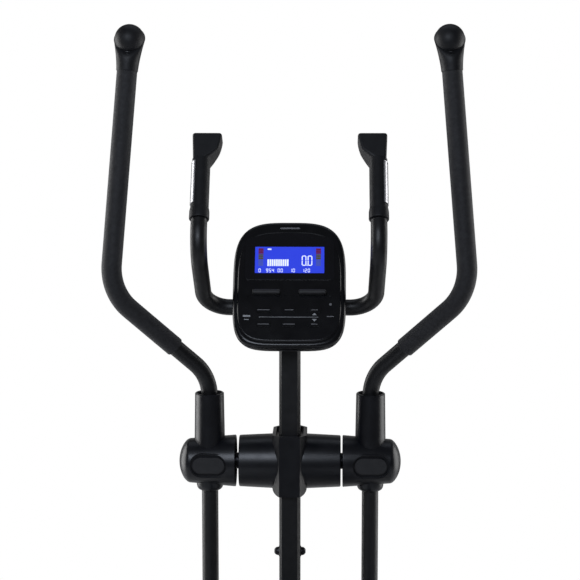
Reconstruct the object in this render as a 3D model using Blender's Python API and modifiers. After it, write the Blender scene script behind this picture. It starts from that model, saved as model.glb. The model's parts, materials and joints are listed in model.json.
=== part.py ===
"""Elliptical trainer: a rear-drive magnetic cross trainer, modelled piece by piece.

Frame: +Z is up, +Y points to the front of the machine, the way the user faces,
and +X is the user's right. The origin is on the floor, under the middle of the
machine. All lengths are in metres. The cranks stand upright, right crank up, so
both swing arms hang straight down.
"""
import math

import bmesh
import bpy
from mathutils import Matrix, Vector

# ---- Driving dimensions --------------------------------------------------------
GAP = 0.0003                    # clearance between pieces that touch
RIGHT, LEFT = 1, -1             # sides of the machine, as signs of x
SIDE_NAMES = {RIGHT: "right", LEFT: "left"}

HUB_HEIGHT = 0.86               # axle of the two swing arms above the floor
ARM_X = 0.1555                  # swing arm centre to the middle of the machine
CRANK_REACH = 0.72              # crank axle behind the post
CRANK_HEIGHT = 0.30             # crank axle, and the arms' lower pivots, above the floor
CRANK_RADIUS = 0.14             # half the stride

FRONT_FOOT_REACH = 0.20         # front stabiliser ahead of the post
REAR_FOOT_REACH = 1.00          # rear stabiliser behind the post
FOOT_TUBE_RADIUS = 0.030
FOOT_TUBE_HEIGHT = 0.042
FOOT_TUBE_HALF = 0.275
FOOT_CAP_RADIUS = 0.0345
WHEEL_AHEAD = 0.064             # transport wheel axle ahead of the front stabiliser
WHEEL_RADIUS = 0.026
WHEEL_X = 0.262

POST_Y = (REAR_FOOT_REACH + FOOT_TUBE_HEIGHT - FRONT_FOOT_REACH - WHEEL_AHEAD - WHEEL_RADIUS) / 2
CRANK_Y = POST_Y - CRANK_REACH

RAIL_SIZE = (0.050, 0.060)      # base rail, width and height
RAIL_BOTTOM = FOOT_TUBE_HEIGHT + FOOT_TUBE_RADIUS + GAP
RAIL_TOP = RAIL_BOTTOM + RAIL_SIZE[1]

POST_SIZE = (0.040, 0.080)      # post section, width and depth
POST_WALL = 0.002
POST_CORNER = 0.006
POST_SPLIT = 0.60               # height of the seam between lower and upper post
POST_BOLT_HEIGHT = HUB_HEIGHT - 0.180

TUBE_RADIUS = 0.016             # swing arms and handlebars
TUBE_WALL = 0.0015
FOAM_RADIUS = 0.019
AXLE_RADIUS = 0.0155
TEE_HALF = 0.098                # half length of the T cover along x
HUB_START = {RIGHT: 0.1018, LEFT: 0.1046}
HUB_SHOULDER = 0.1955
HUB_TIP = 0.2145
HUB_RADIUS = (0.0500, 0.0425)   # hub barrel at its inner face and at its shoulder
HANDLEBAR_BENDS = (0.085, 0.100)
CAP_CENTRE = Vector((0.2957, -0.055, 0.807))    # middle of the cap's ball from the arm axle
CAP_OVER_TUBE = 0.024           # from the tube's end to the middle of the ball
PLUG_SEAT = 0.0400              # flat seat of the hub's plug, from the axle towards the user
SLEEVE_RADIUS = 0.0290
SLEEVE_DEPTH = 1.15             # the sleeve is this much deeper than wide
SLEEVE_TOP = 0.134              # above the arm axle

GRIP_BAR_HEIGHT = 0.300         # fixed handlebar's cross tube above the arm axle
GRIP_BAR_RADIUS = 0.0155
GRIP_BAR_HALF = 0.163
KNEE = Vector((0.1665, -0.125, 0.422))      # fixed handlebar's knee from the arm axle
GRIP_LEAN = math.radians(32.5)  # fixed grips lean away from the user
GRIP_RADIUS = 0.0176
GRIP_START = 0.062              # from the knee to the grip's lower ring
GRIP_LENGTH = 0.109
HEAD_LENGTH = 0.070
SPIGOT_RADIUS = 0.0120          # the tube's thinner end inside a fixed grip

CONSOLE_CENTRE = Vector((0, -0.055, 0.354))     # middle of its face from the arm axle
CONSOLE_TILT = math.radians(32)                 # face leans back from upright
CONSOLE_HALF = (0.1065, 0.1310)
CONSOLE_FRONT_DEPTH = 0.016
CONSOLE_DEPTH = 0.034
CONSOLE_WALL = 0.004
LENS_DEPTH = 0.002
KEY_SIZE = (0.026, 0.011, 0.0042)
KEY_COLUMNS = (-0.0475, 0.0, 0.0475)
KEY_ROWS = (-0.0560, -0.0850)
KEY_NAMES = (("start_key", "mode_key", "up_key"), ("recovery_key", "reset_key", "down_key"))

CASING_HALF_WIDTH = 0.055
CASING_WALL = 0.003
CASING_RADIUS = 0.240
FLYWHEEL_AHEAD = 0.265          # flywheel axle ahead of the crank axle
FLYWHEEL_HEIGHT = 0.250
FLYWHEEL_RADIUS = 0.110
NOSE_RADIUS = 0.145
PULLEY_RADIUS = 0.130
SHEAVE_RADIUS = 0.016
BELT_X = -0.026
BELT_WIDTH = 0.014
BELT_THICKNESS = 0.003
DISC_RADIUS = 0.215
DISC_INNER_X = 0.0565
DISC_OUTER_X = 0.0800
DISC_WALL = 0.003

PEDAL_SIZE = (0.130, 0.340)     # width and length
PEDAL_SETBACK = 0.280           # pedal centre behind the arm's lower pivot
BAR_SIZE = (0.026, 0.046)       # pedal bar section, width and height

ORIGIN = Vector((0, POST_Y, HUB_HEIGHT))        # middle of the arm axle


# ---- Scene, collections and materials ---------------------------------------------
def clear_scene():
    for old in list(bpy.data.objects):
        bpy.data.objects.remove(old, do_unlink=True)


def new_collection(name):
    collection = bpy.data.collections.new(name)
    bpy.context.scene.collection.children.link(collection)
    return collection


clear_scene()
PARTS = new_collection("elliptical_trainer")
CUTTERS = new_collection("cutters")
MATERIALS = {}


def material(name, colour, roughness, metallic=0.0):
    made = bpy.data.materials.new(name)
    made.use_nodes = True
    shader = made.node_tree.nodes["Principled BSDF"]
    shader.inputs["Base Color"].default_value = (*colour, 1.0)
    shader.inputs["Roughness"].default_value = roughness
    shader.inputs["Metallic"].default_value = metallic
    MATERIALS[name] = made


material("powder_coat", (0.020, 0.021, 0.024), 0.50)
material("satin_plastic", (0.018, 0.019, 0.024), 0.32)
material("matt_plastic", (0.024, 0.024, 0.027), 0.55)
material("foam", (0.020, 0.020, 0.023), 0.90)
material("rubber", (0.015, 0.015, 0.015), 0.80)
material("steel", (0.55, 0.56, 0.58), 0.30, 1.0)
material("dark_steel", (0.10, 0.10, 0.11), 0.40, 1.0)
material("pulse_metal", (0.72, 0.72, 0.74), 0.22, 1.0)
material("lens_plastic", (0.008, 0.010, 0.020), 0.08)
material("circuit_board", (0.02, 0.12, 0.05), 0.50)


# ---- Object helpers -----------------------------------------------------------------
def link(obj, collection=None):
    for old in list(obj.users_collection):
        old.objects.unlink(obj)
    (collection or PARTS).objects.link(obj)
    return obj


def from_bmesh(name, bm):
    mesh = bpy.data.meshes.new(name)
    bm.to_mesh(mesh)
    bm.free()
    return link(bpy.data.objects.new(name, mesh))


def solid_mesh(obj):
    """Replace an object by a plain mesh of its evaluated shape, welded, faces pointing out."""
    bpy.context.view_layer.update()
    graph = bpy.context.evaluated_depsgraph_get()
    mesh = bpy.data.meshes.new_from_object(obj.evaluated_get(graph))
    bm = bmesh.new()
    bm.from_mesh(mesh)
    bmesh.ops.remove_doubles(bm, verts=bm.verts, dist=0.00001)
    bmesh.ops.recalc_face_normals(bm, faces=bm.faces)
    bm.to_mesh(mesh)
    bm.free()
    name = obj.name
    matrix = obj.matrix_world.copy()
    bpy.data.objects.remove(obj, do_unlink=True)
    made = bpy.data.objects.new(name, mesh)
    made.matrix_world = matrix
    return link(made)


def rounded(obj, width, segments=2, angle=35):
    """Bevel the edges that are sharper than the angle."""
    bevel = obj.modifiers.new("rounded", "BEVEL")
    bevel.width = width
    bevel.segments = segments
    bevel.limit_method = "ANGLE"
    bevel.angle_limit = math.radians(angle)
    return obj


def box(name, low, high):
    """A box between two corners, with its origin at its middle."""
    low, high = Vector(low), Vector(high)
    bm = bmesh.new()
    bmesh.ops.create_cube(bm, size=1.0)
    bmesh.ops.scale(bm, vec=high - low, verts=bm.verts)
    obj = from_bmesh(name, bm)
    obj.location = (low + high) / 2
    return obj


def axis_turn(axis):
    """Rotation that takes +Z to the named axis."""
    turns = {
        "Z": Matrix.Identity(4),
        "X": Matrix.Rotation(math.radians(90), 4, "Y"),
        "-X": Matrix.Rotation(math.radians(-90), 4, "Y"),
        "Y": Matrix.Rotation(math.radians(-90), 4, "X"),
        "-Y": Matrix.Rotation(math.radians(90), 4, "X"),
    }
    return turns[axis]


def turned(name, profile, centre, axis="Z", sides=16, frame=None):
    """A turned piece. The profile is (distance along the axis, radius) points in order.

    A profile that starts and ends on the axis closes itself, and any other is closed
    into a ring by joining its last point to its first.
    """
    mesh = bpy.data.meshes.new(name)
    points = [(radius, 0, along) for along, radius in profile]
    edges = [(i, i + 1) for i in range(len(points) - 1)]
    if profile[0][1] > 0 or profile[-1][1] > 0:
        edges.append((len(points) - 1, 0))
    mesh.from_pydata(points, edges, [])
    obj = link(bpy.data.objects.new(name, mesh))
    screw = obj.modifiers.new("turn", "SCREW")
    screw.axis = "Z"
    screw.steps = sides
    screw.render_steps = sides
    screw.use_merge_vertices = True
    screw.merge_threshold = 0.00001
    turn = frame if frame is not None else axis_turn(axis)
    obj.matrix_world = Matrix.Translation(Vector(centre)) @ turn.to_4x4()
    return solid_mesh(obj)


def rod(name, radius, start, length, centre, axis="X", sides=16):
    """A plain solid cylinder from start, over length, along the axis."""
    profile = [(start, 0), (start, radius), (start + length, radius), (start + length, 0)]
    return turned(name, profile, centre, axis, sides)


def turning_bore(shaft_radius, sides):
    """Radius of a bore whose flats, too, stay a gap away from a shaft that turns in it."""
    return (shaft_radius + GAP) / math.cos(math.pi / sides)


def ring(name, inner, outer, start, length, centre, axis="X", sides=20):
    """A straight ring or tube from start, over length, along the axis."""
    end = start + length
    profile = [(start, inner), (start, outer), (end, outer), (end, inner)]
    return turned(name, profile, centre, axis, sides)


def bent_path(corners, radii, step=math.radians(16)):
    """Points of a path through the corners, each inner corner rounded by its radius."""
    corners = [Vector(c) for c in corners]
    points = [corners[0]]
    for before, corner, after, radius in zip(corners, corners[1:], corners[2:], radii):
        inward, outward = (before - corner).normalized(), (after - corner).normalized()
        bend = math.pi - inward.angle(outward)
        reach = radius * math.tan(bend / 2)
        middle = corner + (inward + outward).normalized() * radius / math.cos(bend / 2)
        first = corner + inward * reach - middle
        axis = first.cross(corner + outward * reach - middle).normalized()
        count = max(2, math.ceil(bend / step))
        for i in range(count + 1):
            points.append(middle + Matrix.Rotation(bend * i / count, 3, axis) @ first)
    points.append(corners[-1])
    return points


def pipe(name, points, radius, wall, sides=12, thin_ends=1.0):
    """A bent tube with open ends and a real wall; its two end runs can be thinner."""
    curve = bpy.data.curves.new(name, "CURVE")
    curve.dimensions = "3D"
    curve.bevel_depth = radius
    curve.bevel_resolution = (sides - 4) // 2
    curve.use_fill_caps = False
    spline = curve.splines.new("POLY")
    spline.points.add(len(points) - 1)
    for i, (spot, point) in enumerate(zip(spline.points, points)):
        spot.co = (*point, 1.0)
        spot.radius = thin_ends if i < 2 or i > len(points) - 3 else 1.0
    obj = link(bpy.data.objects.new(name, curve))
    skin = obj.modifiers.new("wall", "SOLIDIFY")
    skin.thickness = wall
    skin.offset = -1.0
    return solid_mesh(obj)


def prism(name, outline, low, high, frame):
    """A flat outline made solid from low to high along the frame's Z."""
    curve = bpy.data.curves.new(name, "CURVE")
    curve.dimensions = "2D"
    curve.fill_mode = "BOTH"
    curve.extrude = (high - low) / 2
    spline = curve.splines.new("POLY")
    spline.points.add(len(outline) - 1)
    for spot, (across, along) in zip(spline.points, outline):
        spot.co = (across, along, 0.0, 1.0)
    spline.use_cyclic_u = True
    obj = link(bpy.data.objects.new(name, curve))
    obj.matrix_world = frame @ Matrix.Translation((0, 0, (low + high) / 2))
    return solid_mesh(obj)


def boolean(obj, other, operation):
    other.name = obj.name + "_" + operation.lower()
    link(other, CUTTERS)
    other.hide_render = True
    other.display_type = "WIRE"
    step = obj.modifiers.new(operation.lower(), "BOOLEAN")
    step.operation = operation
    step.object = other
    step.solver = "EXACT"
    return obj


def cut(obj, *others):
    for other in others:
        boolean(obj, other, "DIFFERENCE")
    return obj


def join(obj, *others):
    for other in others:
        boolean(obj, other, "UNION")
    return obj


def finish(obj, material_name, parent=None, smooth=35):
    """Give a piece its material, its shading and the empty that it hangs on."""
    obj.data.materials.clear()
    obj.data.materials.append(MATERIALS[material_name])
    obj.data.shade_smooth()
    obj.data.set_sharp_from_angle(angle=math.radians(smooth))
    if parent is not None:
        bpy.context.view_layer.update()
        obj.parent = parent
        obj.matrix_parent_inverse = parent.matrix_world.inverted()
    return obj


def empty(name, location, rotation=(0, 0, 0), parent=None):
    obj = bpy.data.objects.new(name, None)
    obj.empty_display_size = 0.05
    link(obj)
    obj.location = location
    obj.rotation_euler = rotation
    if parent is not None:
        bpy.context.view_layer.update()
        obj.parent = parent
        obj.matrix_parent_inverse = parent.matrix_world.inverted()
    bpy.context.view_layer.update()
    return obj


# ---- Outlines -------------------------------------------------------------------------
def arc(centre, radius, start, end, steps):
    """Points of an arc, angles in degrees."""
    points = []
    for i in range(steps + 1):
        angle = math.radians(start + (end - start) * i / steps)
        points.append((centre[0] + radius * math.cos(angle), centre[1] + radius * math.sin(angle)))
    return points


def rounded_rectangle(half_width, half_height, radius, centre=(0, 0), steps=4):
    points = []
    for sign_x, sign_y, start in ((1, 1, 0), (-1, 1, 90), (-1, -1, 180), (1, -1, 270)):
        corner = (centre[0] + sign_x * (half_width - radius), centre[1] + sign_y * (half_height - radius))
        points += arc(corner, radius, start, start + 90, steps)
    return points


def obround(half_width, half_height, steps=6):
    reach = half_width - half_height
    right_end = arc((reach, 0), half_height, -90, 90, steps)
    return right_end + arc((-reach, 0), half_height, 90, 270, steps)


def console_outline(scale=1.0, steps=32):
    """The console's face: a superellipse, squarer at its bottom than at its top."""
    points = []
    for i in range(steps):
        angle = 2 * math.pi * i / steps
        across, up = math.cos(angle), math.sin(angle)
        power = 3.55 if up > 0 else 4.75
        size = (abs(across) ** power + abs(up) ** power) ** (-1 / power)
        points.append((CONSOLE_HALF[0] * across * size * scale, CONSOLE_HALF[1] * up * size * scale))
    return points


def belt_outline(centre_a, radius_a, centre_b, radius_b, steps_a=22, steps_b=10):
    """The loop drawn tight around two circles, the first one the larger."""
    a, b = Vector(centre_a), Vector(centre_b)
    heading = math.degrees(math.atan2(b.y - a.y, b.x - a.x))
    lean = math.degrees(math.acos((radius_a - radius_b) / (b - a).length))
    far_side = arc(centre_a, radius_a, heading + lean, heading + 360 - lean, steps_a)
    return far_side + arc(centre_b, radius_b, heading - lean, heading + lean, steps_b)


# Side views are drawn with +Y across and +Z up, and are made solid along +X.
SIDE_VIEW = Matrix(((0, 0, 1, 0), (1, 0, 0, 0), (0, 1, 0, 0), (0, 0, 0, 1)))
CRANK_SPOT = (CRANK_Y, CRANK_HEIGHT)
FLYWHEEL_SPOT = (CRANK_Y + FLYWHEEL_AHEAD, FLYWHEEL_HEIGHT)


def brake_pivot():
    """The brake bracket's pivot, in front of and below the flywheel's axle."""
    angle = math.radians(-52)
    reach = FLYWHEEL_RADIUS + 0.014
    return (FLYWHEEL_SPOT[0] + reach * math.cos(angle), FLYWHEEL_SPOT[1] + reach * math.sin(angle))


# ---- Base ------------------------------------------------------------------------------
def base_frame():
    """Welded base: rail, lower post with its insert, crank carrier and flywheel fork."""
    half = RAIL_SIZE[0] / 2
    front, rear = POST_Y + FRONT_FOOT_REACH + 0.028, POST_Y - REAR_FOOT_REACH - 0.028
    frame = rounded(box("base_frame", (-half, rear, RAIL_BOTTOM), (half, front, RAIL_TOP)), 0.004, 2)
    px, py = POST_SIZE[0] / 2, POST_SIZE[1] / 2
    lower = box("lower_post", (-px, POST_Y - py, RAIL_TOP - 0.002), (px, POST_Y + py, POST_SPLIT))
    rounded(lower, POST_CORNER, 2, 60)
    slack = POST_WALL + GAP
    insert = box(
        "insert",
        (-px + slack, POST_Y - py + slack, POST_SPLIT - 0.02),
        (px - slack, POST_Y + py - slack, POST_SPLIT + 0.14),
    )
    rounded(insert, POST_CORNER - slack, 1, 60)
    carrier = box(
        "crank_carrier", (-0.012, CRANK_Y - 0.022, RAIL_TOP - 0.002), (0.020, CRANK_Y + 0.022, CRANK_HEIGHT)
    )
    shell = rod("crank_shell", 0.023, -0.0135, 0.0350, (0, CRANK_Y, CRANK_HEIGHT))
    join(frame, lower, insert, carrier, shell)
    for y in (POST_Y + FRONT_FOOT_REACH, POST_Y - REAR_FOOT_REACH):
        saddle = box("saddle", (-0.022, y - 0.035, FOOT_TUBE_HEIGHT + 0.010), (0.022, y + 0.027, RAIL_BOTTOM + 0.004))
        cut(saddle, rod("tube_space", FOOT_TUBE_RADIUS + 2 * GAP, -0.05, 0.10, (0, y, FOOT_TUBE_HEIGHT)))
        join(frame, saddle)
    for low_x in (-0.044, 0.040):
        high_x = low_x + 0.004
        middle = low_x + 0.002
        inside = math.copysign(RAIL_SIZE[0] / 2 - 0.001, middle)
        fork = box(
            "flywheel_fork",
            (low_x, FLYWHEEL_SPOT[0] - 0.018, RAIL_TOP - 0.018),
            (high_x, FLYWHEEL_SPOT[0] + 0.018, FLYWHEEL_HEIGHT + 0.018),
        )
        foot = box(
            "fork_foot",
            (min(middle, inside), FLYWHEEL_SPOT[0] - 0.016, RAIL_TOP - 0.015),
            (max(middle, inside), FLYWHEEL_SPOT[0] + 0.016, RAIL_TOP - 0.007),
        )
        join(frame, fork, foot)
    brake_y, brake_z = brake_pivot()
    brake_tab = box(
        "brake_tab", (0.0405, FLYWHEEL_SPOT[0] - 0.010, brake_z - 0.009), (0.0435, brake_y + 0.009, brake_z + 0.009)
    )
    join(frame, brake_tab, rod("brake_pin", 0.0030, -0.001, 0.0430, (0, brake_y, brake_z), sides=14))
    wall = 0.0025
    cut(
        frame,
        box("hollow", (-half + wall, rear + wall, RAIL_BOTTOM + wall), (half - wall, front - wall, RAIL_TOP - wall)),
        box(
            "post_hollow",
            (-px + 0.0045, POST_Y - py + 0.0045, RAIL_TOP - 0.010),
            (px - 0.0045, POST_Y + py - 0.0045, POST_SPLIT + 0.16),
        ),
        rod("crank_bore", 0.0125, -0.03, 0.06, (0, CRANK_Y, CRANK_HEIGHT), sides=16),
        rod("flywheel_bore", 0.0064, -0.06, 0.12, (0, *FLYWHEEL_SPOT), sides=12),
        rod("post_bolt_hole", 0.0044, -0.03, 0.06, (0, POST_Y, POST_BOLT_HEIGHT), sides=12),
    )
    for y in (rear + 0.085, front - 0.085):
        cut(frame, rod("drain_hole", 0.004, -0.01, 0.02, (0.014, y, RAIL_BOTTOM), "Z", 8))
    return finish(frame, "powder_coat")


def stabiliser(name, y):
    tube = ring(
        name,
        FOOT_TUBE_RADIUS - 0.002,
        FOOT_TUBE_RADIUS,
        -FOOT_TUBE_HALF,
        2 * FOOT_TUBE_HALF,
        (0, y, FOOT_TUBE_HEIGHT),
        "X",
        16,
    )
    return finish(tube, "powder_coat")


def cup(name, side, y, start, end, flat_sides):
    """The cup that closes one end of a stabiliser tube."""
    bore = FOOT_TUBE_RADIUS + GAP
    rim = FOOT_CAP_RADIUS
    profile = [
        (start, bore),
        (start, rim - 0.001),
        (start + 0.001, rim),
        (end - 0.006, rim),
        (end - 0.002, rim - 0.003),
        (end, rim - 0.008),
        (end, 0.0),
        (FOOT_TUBE_HALF + GAP, 0.0),
        (FOOT_TUBE_HALF + GAP, bore),
    ]
    return turned(name, profile, (0, y, FOOT_TUBE_HEIGHT), "X" if side > 0 else "-X", flat_sides)


def front_end_cap(side):
    """Moulded cap with a flat sole and two cheeks that hold the transport wheel."""
    y = POST_Y + FRONT_FOOT_REACH
    cap = cup(f"front_end_cap_{SIDE_NAMES[side]}", side, y, 0.236, 0.292, 16)
    sole = box("sole", (side * 0.264 - 0.026, y - 0.024, 0), (side * 0.264 + 0.026, y + 0.024, 0.020))
    join(cap, rounded(sole, 0.003, 1))
    for inner in (WHEEL_X - 0.0145, WHEEL_X + 0.0085):
        outline = arc((y + WHEEL_AHEAD, 0.036), 0.014, -90, 90, 4) + [(y + 0.01, 0.060), (y + 0.01, 0.022)]
        low, high = sorted((side * inner, side * (inner + 0.006)))
        join(cap, prism("cheek", outline, low, high, SIDE_VIEW))
    pin = rod("pin", 0.0035, -0.012, 0.024, (side * WHEEL_X, y + WHEEL_AHEAD, 0.036), sides=12)
    bore = rod("tube_space", FOOT_TUBE_RADIUS + GAP, -FOOT_TUBE_HALF - GAP, 2 * (FOOT_TUBE_HALF + GAP),
               (0, y, FOOT_TUBE_HEIGHT), sides=16)
    cut(join(cap, pin), bore)
    return finish(cap, "rubber")


def transport_wheel(side):
    y = POST_Y + FRONT_FOOT_REACH + WHEEL_AHEAD
    profile = [
        (-0.0078, 0.0040),
        (-0.0078, WHEEL_RADIUS - 0.003),
        (-0.0050, WHEEL_RADIUS),
        (0.0050, WHEEL_RADIUS),
        (0.0078, WHEEL_RADIUS - 0.003),
        (0.0078, 0.0040),
    ]
    wheel = turned(f"transport_wheel_{SIDE_NAMES[side]}", profile, (side * WHEEL_X, y, 0.036), "X", 20)
    hanger = empty(f"transport_wheel_axis_{SIDE_NAMES[side]}", (side * WHEEL_X, y, 0.036))
    return finish(wheel, "rubber", hanger)


def levelling_cap(side):
    """Octagonal rear cap: each flat can be turned down to the floor to level the machine."""
    y = POST_Y - REAR_FOOT_REACH
    name = f"levelling_cap_{SIDE_NAMES[side]}"
    corner_radius = FOOT_TUBE_HEIGHT / math.cos(math.radians(22.5))
    bore = turning_bore(FOOT_TUBE_RADIUS, 16)
    outline = arc((y, FOOT_TUBE_HEIGHT), corner_radius, 22.5, 22.5 + 315, 7)
    low, high = sorted((side * 0.238, side * 0.292))
    cap = rounded(prism(name, outline, low, high, SIDE_VIEW), 0.003, 1)
    cut(cap, rod("tube_space", bore, -FOOT_TUBE_HALF - GAP, 2 * (FOOT_TUBE_HALF + GAP),
                 (0, y, FOOT_TUBE_HEIGHT), sides=16))
    hanger = empty(f"levelling_axis_{SIDE_NAMES[side]}", (side * 0.265, y, FOOT_TUBE_HEIGHT))
    return finish(cap, "rubber", hanger)


# ---- Post, axle and T cover ---------------------------------------------------------------
def console_frame():
    """Where the console stands: X across, Y up its face, Z out of its face."""
    turn = Matrix.Rotation(math.radians(90) - CONSOLE_TILT, 4, "X")
    return Matrix.Translation(ORIGIN + CONSOLE_CENTRE) @ turn


def local_box(name, low, high, frame):
    obj = box(name, low, high)
    bpy.context.view_layer.update()
    obj.matrix_world = frame @ obj.matrix_world
    return obj


def upper_post():
    """Upper post with the cross tube for the arm axle and the console's bracket."""
    px, py = POST_SIZE[0] / 2, POST_SIZE[1] / 2
    top = HUB_HEIGHT + GRIP_BAR_HEIGHT
    post = box("upper_post", (-px, POST_Y - py, POST_SPLIT + GAP), (px, POST_Y + py, top))
    rounded(post, POST_CORNER, 2, 60)
    hollow = box(
        "post_hollow",
        (-px + POST_WALL, POST_Y - py + POST_WALL, POST_SPLIT - 0.01),
        (px - POST_WALL, POST_Y + py - POST_WALL, top + 0.01),
    )
    rounded(hollow, POST_CORNER - POST_WALL, 1, 60)
    cut(post, hollow)
    join(post, rod("cross_tube", 0.021, -TEE_HALF + 0.003, 2 * TEE_HALF - 0.006, ORIGIN, sides=20))
    face = console_frame()
    back = -CONSOLE_DEPTH - GAP
    plate = local_box("bracket_plate", (-0.032, -0.104, back - 0.003), (0.032, -0.034, back), face)
    web = local_box("bracket_web", (-0.011, -0.094, back - 0.030), (0.011, -0.052, back - 0.001), face)
    join(post, plate, web)
    cut(
        post,
        rod("axle_bore", AXLE_RADIUS + GAP, -0.12, 0.24, ORIGIN, sides=18),
        rod("saddle", GRIP_BAR_RADIUS + GAP, -0.05, 0.10, (0, POST_Y, top), sides=20),
        rod("bolt_hole", 0.0044, -0.03, 0.06, (0, POST_Y, POST_BOLT_HEIGHT), sides=12),
    )
    return finish(post, "powder_coat")


def domed_bolt(name, half_grip, shank, head, height, centre, material_name, parent=None):
    """A bolt right through a piece, with a washer and a domed head at each end."""
    seat = half_grip + GAP
    end = [(seat, shank), (seat, head + 0.0022), (seat + 0.0015, head + 0.0022), (seat + 0.0015, head)]
    for i in range(3):
        angle = math.radians(90 * (i + 1) / 3)
        end.append((seat + 0.003 + (height - 0.003) * math.sin(angle), head * math.cos(angle)))
    end[-1] = (seat + height, 0.0)
    profile = [(-along, radius) for along, radius in reversed(end)] + end
    return finish(turned(name, profile, centre, "X", 12), material_name, parent)


def arm_axle():
    """Fixed axle across the machine, with a nut outside each swing arm."""
    nut_start, nut_end = 0.1905, 0.2000
    end = [(nut_start, AXLE_RADIUS), (nut_start, 0.0215), (nut_end - 0.002, 0.0215), (nut_end, 0.012), (nut_end, 0)]
    profile = [(-along, radius) for along, radius in reversed(end)] + end
    return finish(turned("arm_axle", profile, ORIGIN, "X", 16), "dark_steel")


def tee_barrel(name, offset):
    """The T cover's barrel: widest beside the collar and slightly tapered to its ends."""
    wide, narrow, shoulder = 0.0530 - offset, 0.0498 - offset, 0.030
    end = TEE_HALF + (0.01 if offset else 0)
    half = [(0, wide), (shoulder, wide)]
    if not offset:
        half += [(end - 0.002, narrow), (end, narrow - 0.0015)]
    else:
        half += [(end, narrow)]
    half += [(end, 0)]
    profile = [(-along, radius) for along, radius in reversed(half[1:])] + half
    return turned(name, profile, ORIGIN, "X", 24)


def collar_outline():
    """Front view of the collar from the arm axle: an hourglass, rounded at its bottom."""
    waist, flare, reach = 0.0250, 0.0080, 0.0440
    half = []
    for i in range(9):
        z = 0.0585 - (0.0585 + 0.0440) * i / 8
        half.append((waist + flare * min(1.0, (z / reach) ** 2), z))
    half += arc((0.0180, -0.0440), 0.0150, -20, -90, 3)
    return half + [(-x, z) for x, z in reversed(half)]


def collar_body(name):
    """The upright collar around the post, rounded at its front and back edges."""
    frame = Matrix.Translation(ORIGIN) @ Matrix.Rotation(math.radians(90), 4, "X")
    return rounded(prism(name, collar_outline(), -0.0560, 0.0560, frame), 0.0090, 3, 60)


def tee_cover(name, user_side):
    """One half of the plastic cover over the cross tube, split down the middle of the post."""
    cover = tee_barrel(name, 0.0)
    join(cover, collar_body("collar"))
    px, py = POST_SIZE[0] / 2 + 0.0006, POST_SIZE[1] / 2 + 0.0006
    cut(
        cover,
        tee_barrel("barrel_space", 0.0035),
        box("post_space", (-px, POST_Y - py, HUB_HEIGHT - 0.1), (px, POST_Y + py, HUB_HEIGHT + 0.1)),
    )
    if user_side:
        other = box("other_half", (-0.2, POST_Y - GAP / 2, HUB_HEIGHT - 0.1), (0.2, POST_Y + 0.1, HUB_HEIGHT + 0.1))
    else:
        other = box("other_half", (-0.2, POST_Y - 0.1, HUB_HEIGHT - 0.1), (0.2, POST_Y + GAP / 2, HUB_HEIGHT + 0.1))
    return finish(cut(cover, other), "satin_plastic")


# ---- Swing arms ------------------------------------------------------------------------------
def arm_axis(side):
    return empty(f"{SIDE_NAMES[side]}_arm_axis", (side * ARM_X, POST_Y, HUB_HEIGHT))


def lower_arm(side, hanger):
    """Steel arm: pivot tube on the axle, spigot for the handlebar, fork at the bottom."""
    x = side * ARM_X
    axis = "X" if side > 0 else "-X"
    arm = ring(f"lower_arm_{SIDE_NAMES[side]}", 0.0193, 0.0240, -0.036, 0.068, (x, POST_Y, HUB_HEIGHT), axis, 16)
    below = CRANK_HEIGHT + 0.030
    leg = pipe("leg", [(x, POST_Y, below), (x, POST_Y, HUB_HEIGHT - 0.021)], TUBE_RADIUS, TUBE_WALL)
    spigot_profile = [(0.0210, 0), (0.0210, TUBE_RADIUS), (0.0315, TUBE_RADIUS), (0.0315, 0.0138), (0.0950, 0.0138),
                      (0.0965, 0.0125), (0.0965, 0)]
    spigot = turned("spigot", spigot_profile, (x, POST_Y, HUB_HEIGHT), "Z", 12)
    fork = box("fork", (x - 0.028, POST_Y - 0.020, CRANK_HEIGHT), (x + 0.028, POST_Y + 0.020, CRANK_HEIGHT + 0.036))
    lobes = rod("fork_lobes", 0.0202, -0.0275, 0.0550, (x, POST_Y, CRANK_HEIGHT))
    join(arm, leg, spigot, rounded(fork, 0.003, 1), lobes)
    slot = box(
        "fork_slot",
        (x - 0.0230, POST_Y - 0.03, CRANK_HEIGHT - 0.03),
        (x + 0.0230, POST_Y + 0.03, CRANK_HEIGHT + 0.028),
    )
    cut(arm, slot, rod("bolt_hole", 0.0054, -0.04, 0.08, (x, POST_Y, CRANK_HEIGHT), sides=12))
    return finish(arm, "powder_coat", hanger)


def arm_bushing(side, hanger):
    """Flanged plastic bushing between the axle and the arm's pivot tube."""
    x = side * ARM_X
    inner, outer, flange = turning_bore(AXLE_RADIUS, 16), 0.0190, 0.0225
    profile = [(-0.0400, inner), (-0.0400, flange), (-0.0364, flange), (-0.0364, outer), (0.032, outer), (0.032, inner)]
    axis = "X" if side > 0 else "-X"
    bushing = turned(f"arm_bushing_{SIDE_NAMES[side]}", profile, (x, POST_Y, HUB_HEIGHT), axis, 16)
    return finish(bushing, "matt_plastic", hanger)


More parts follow.
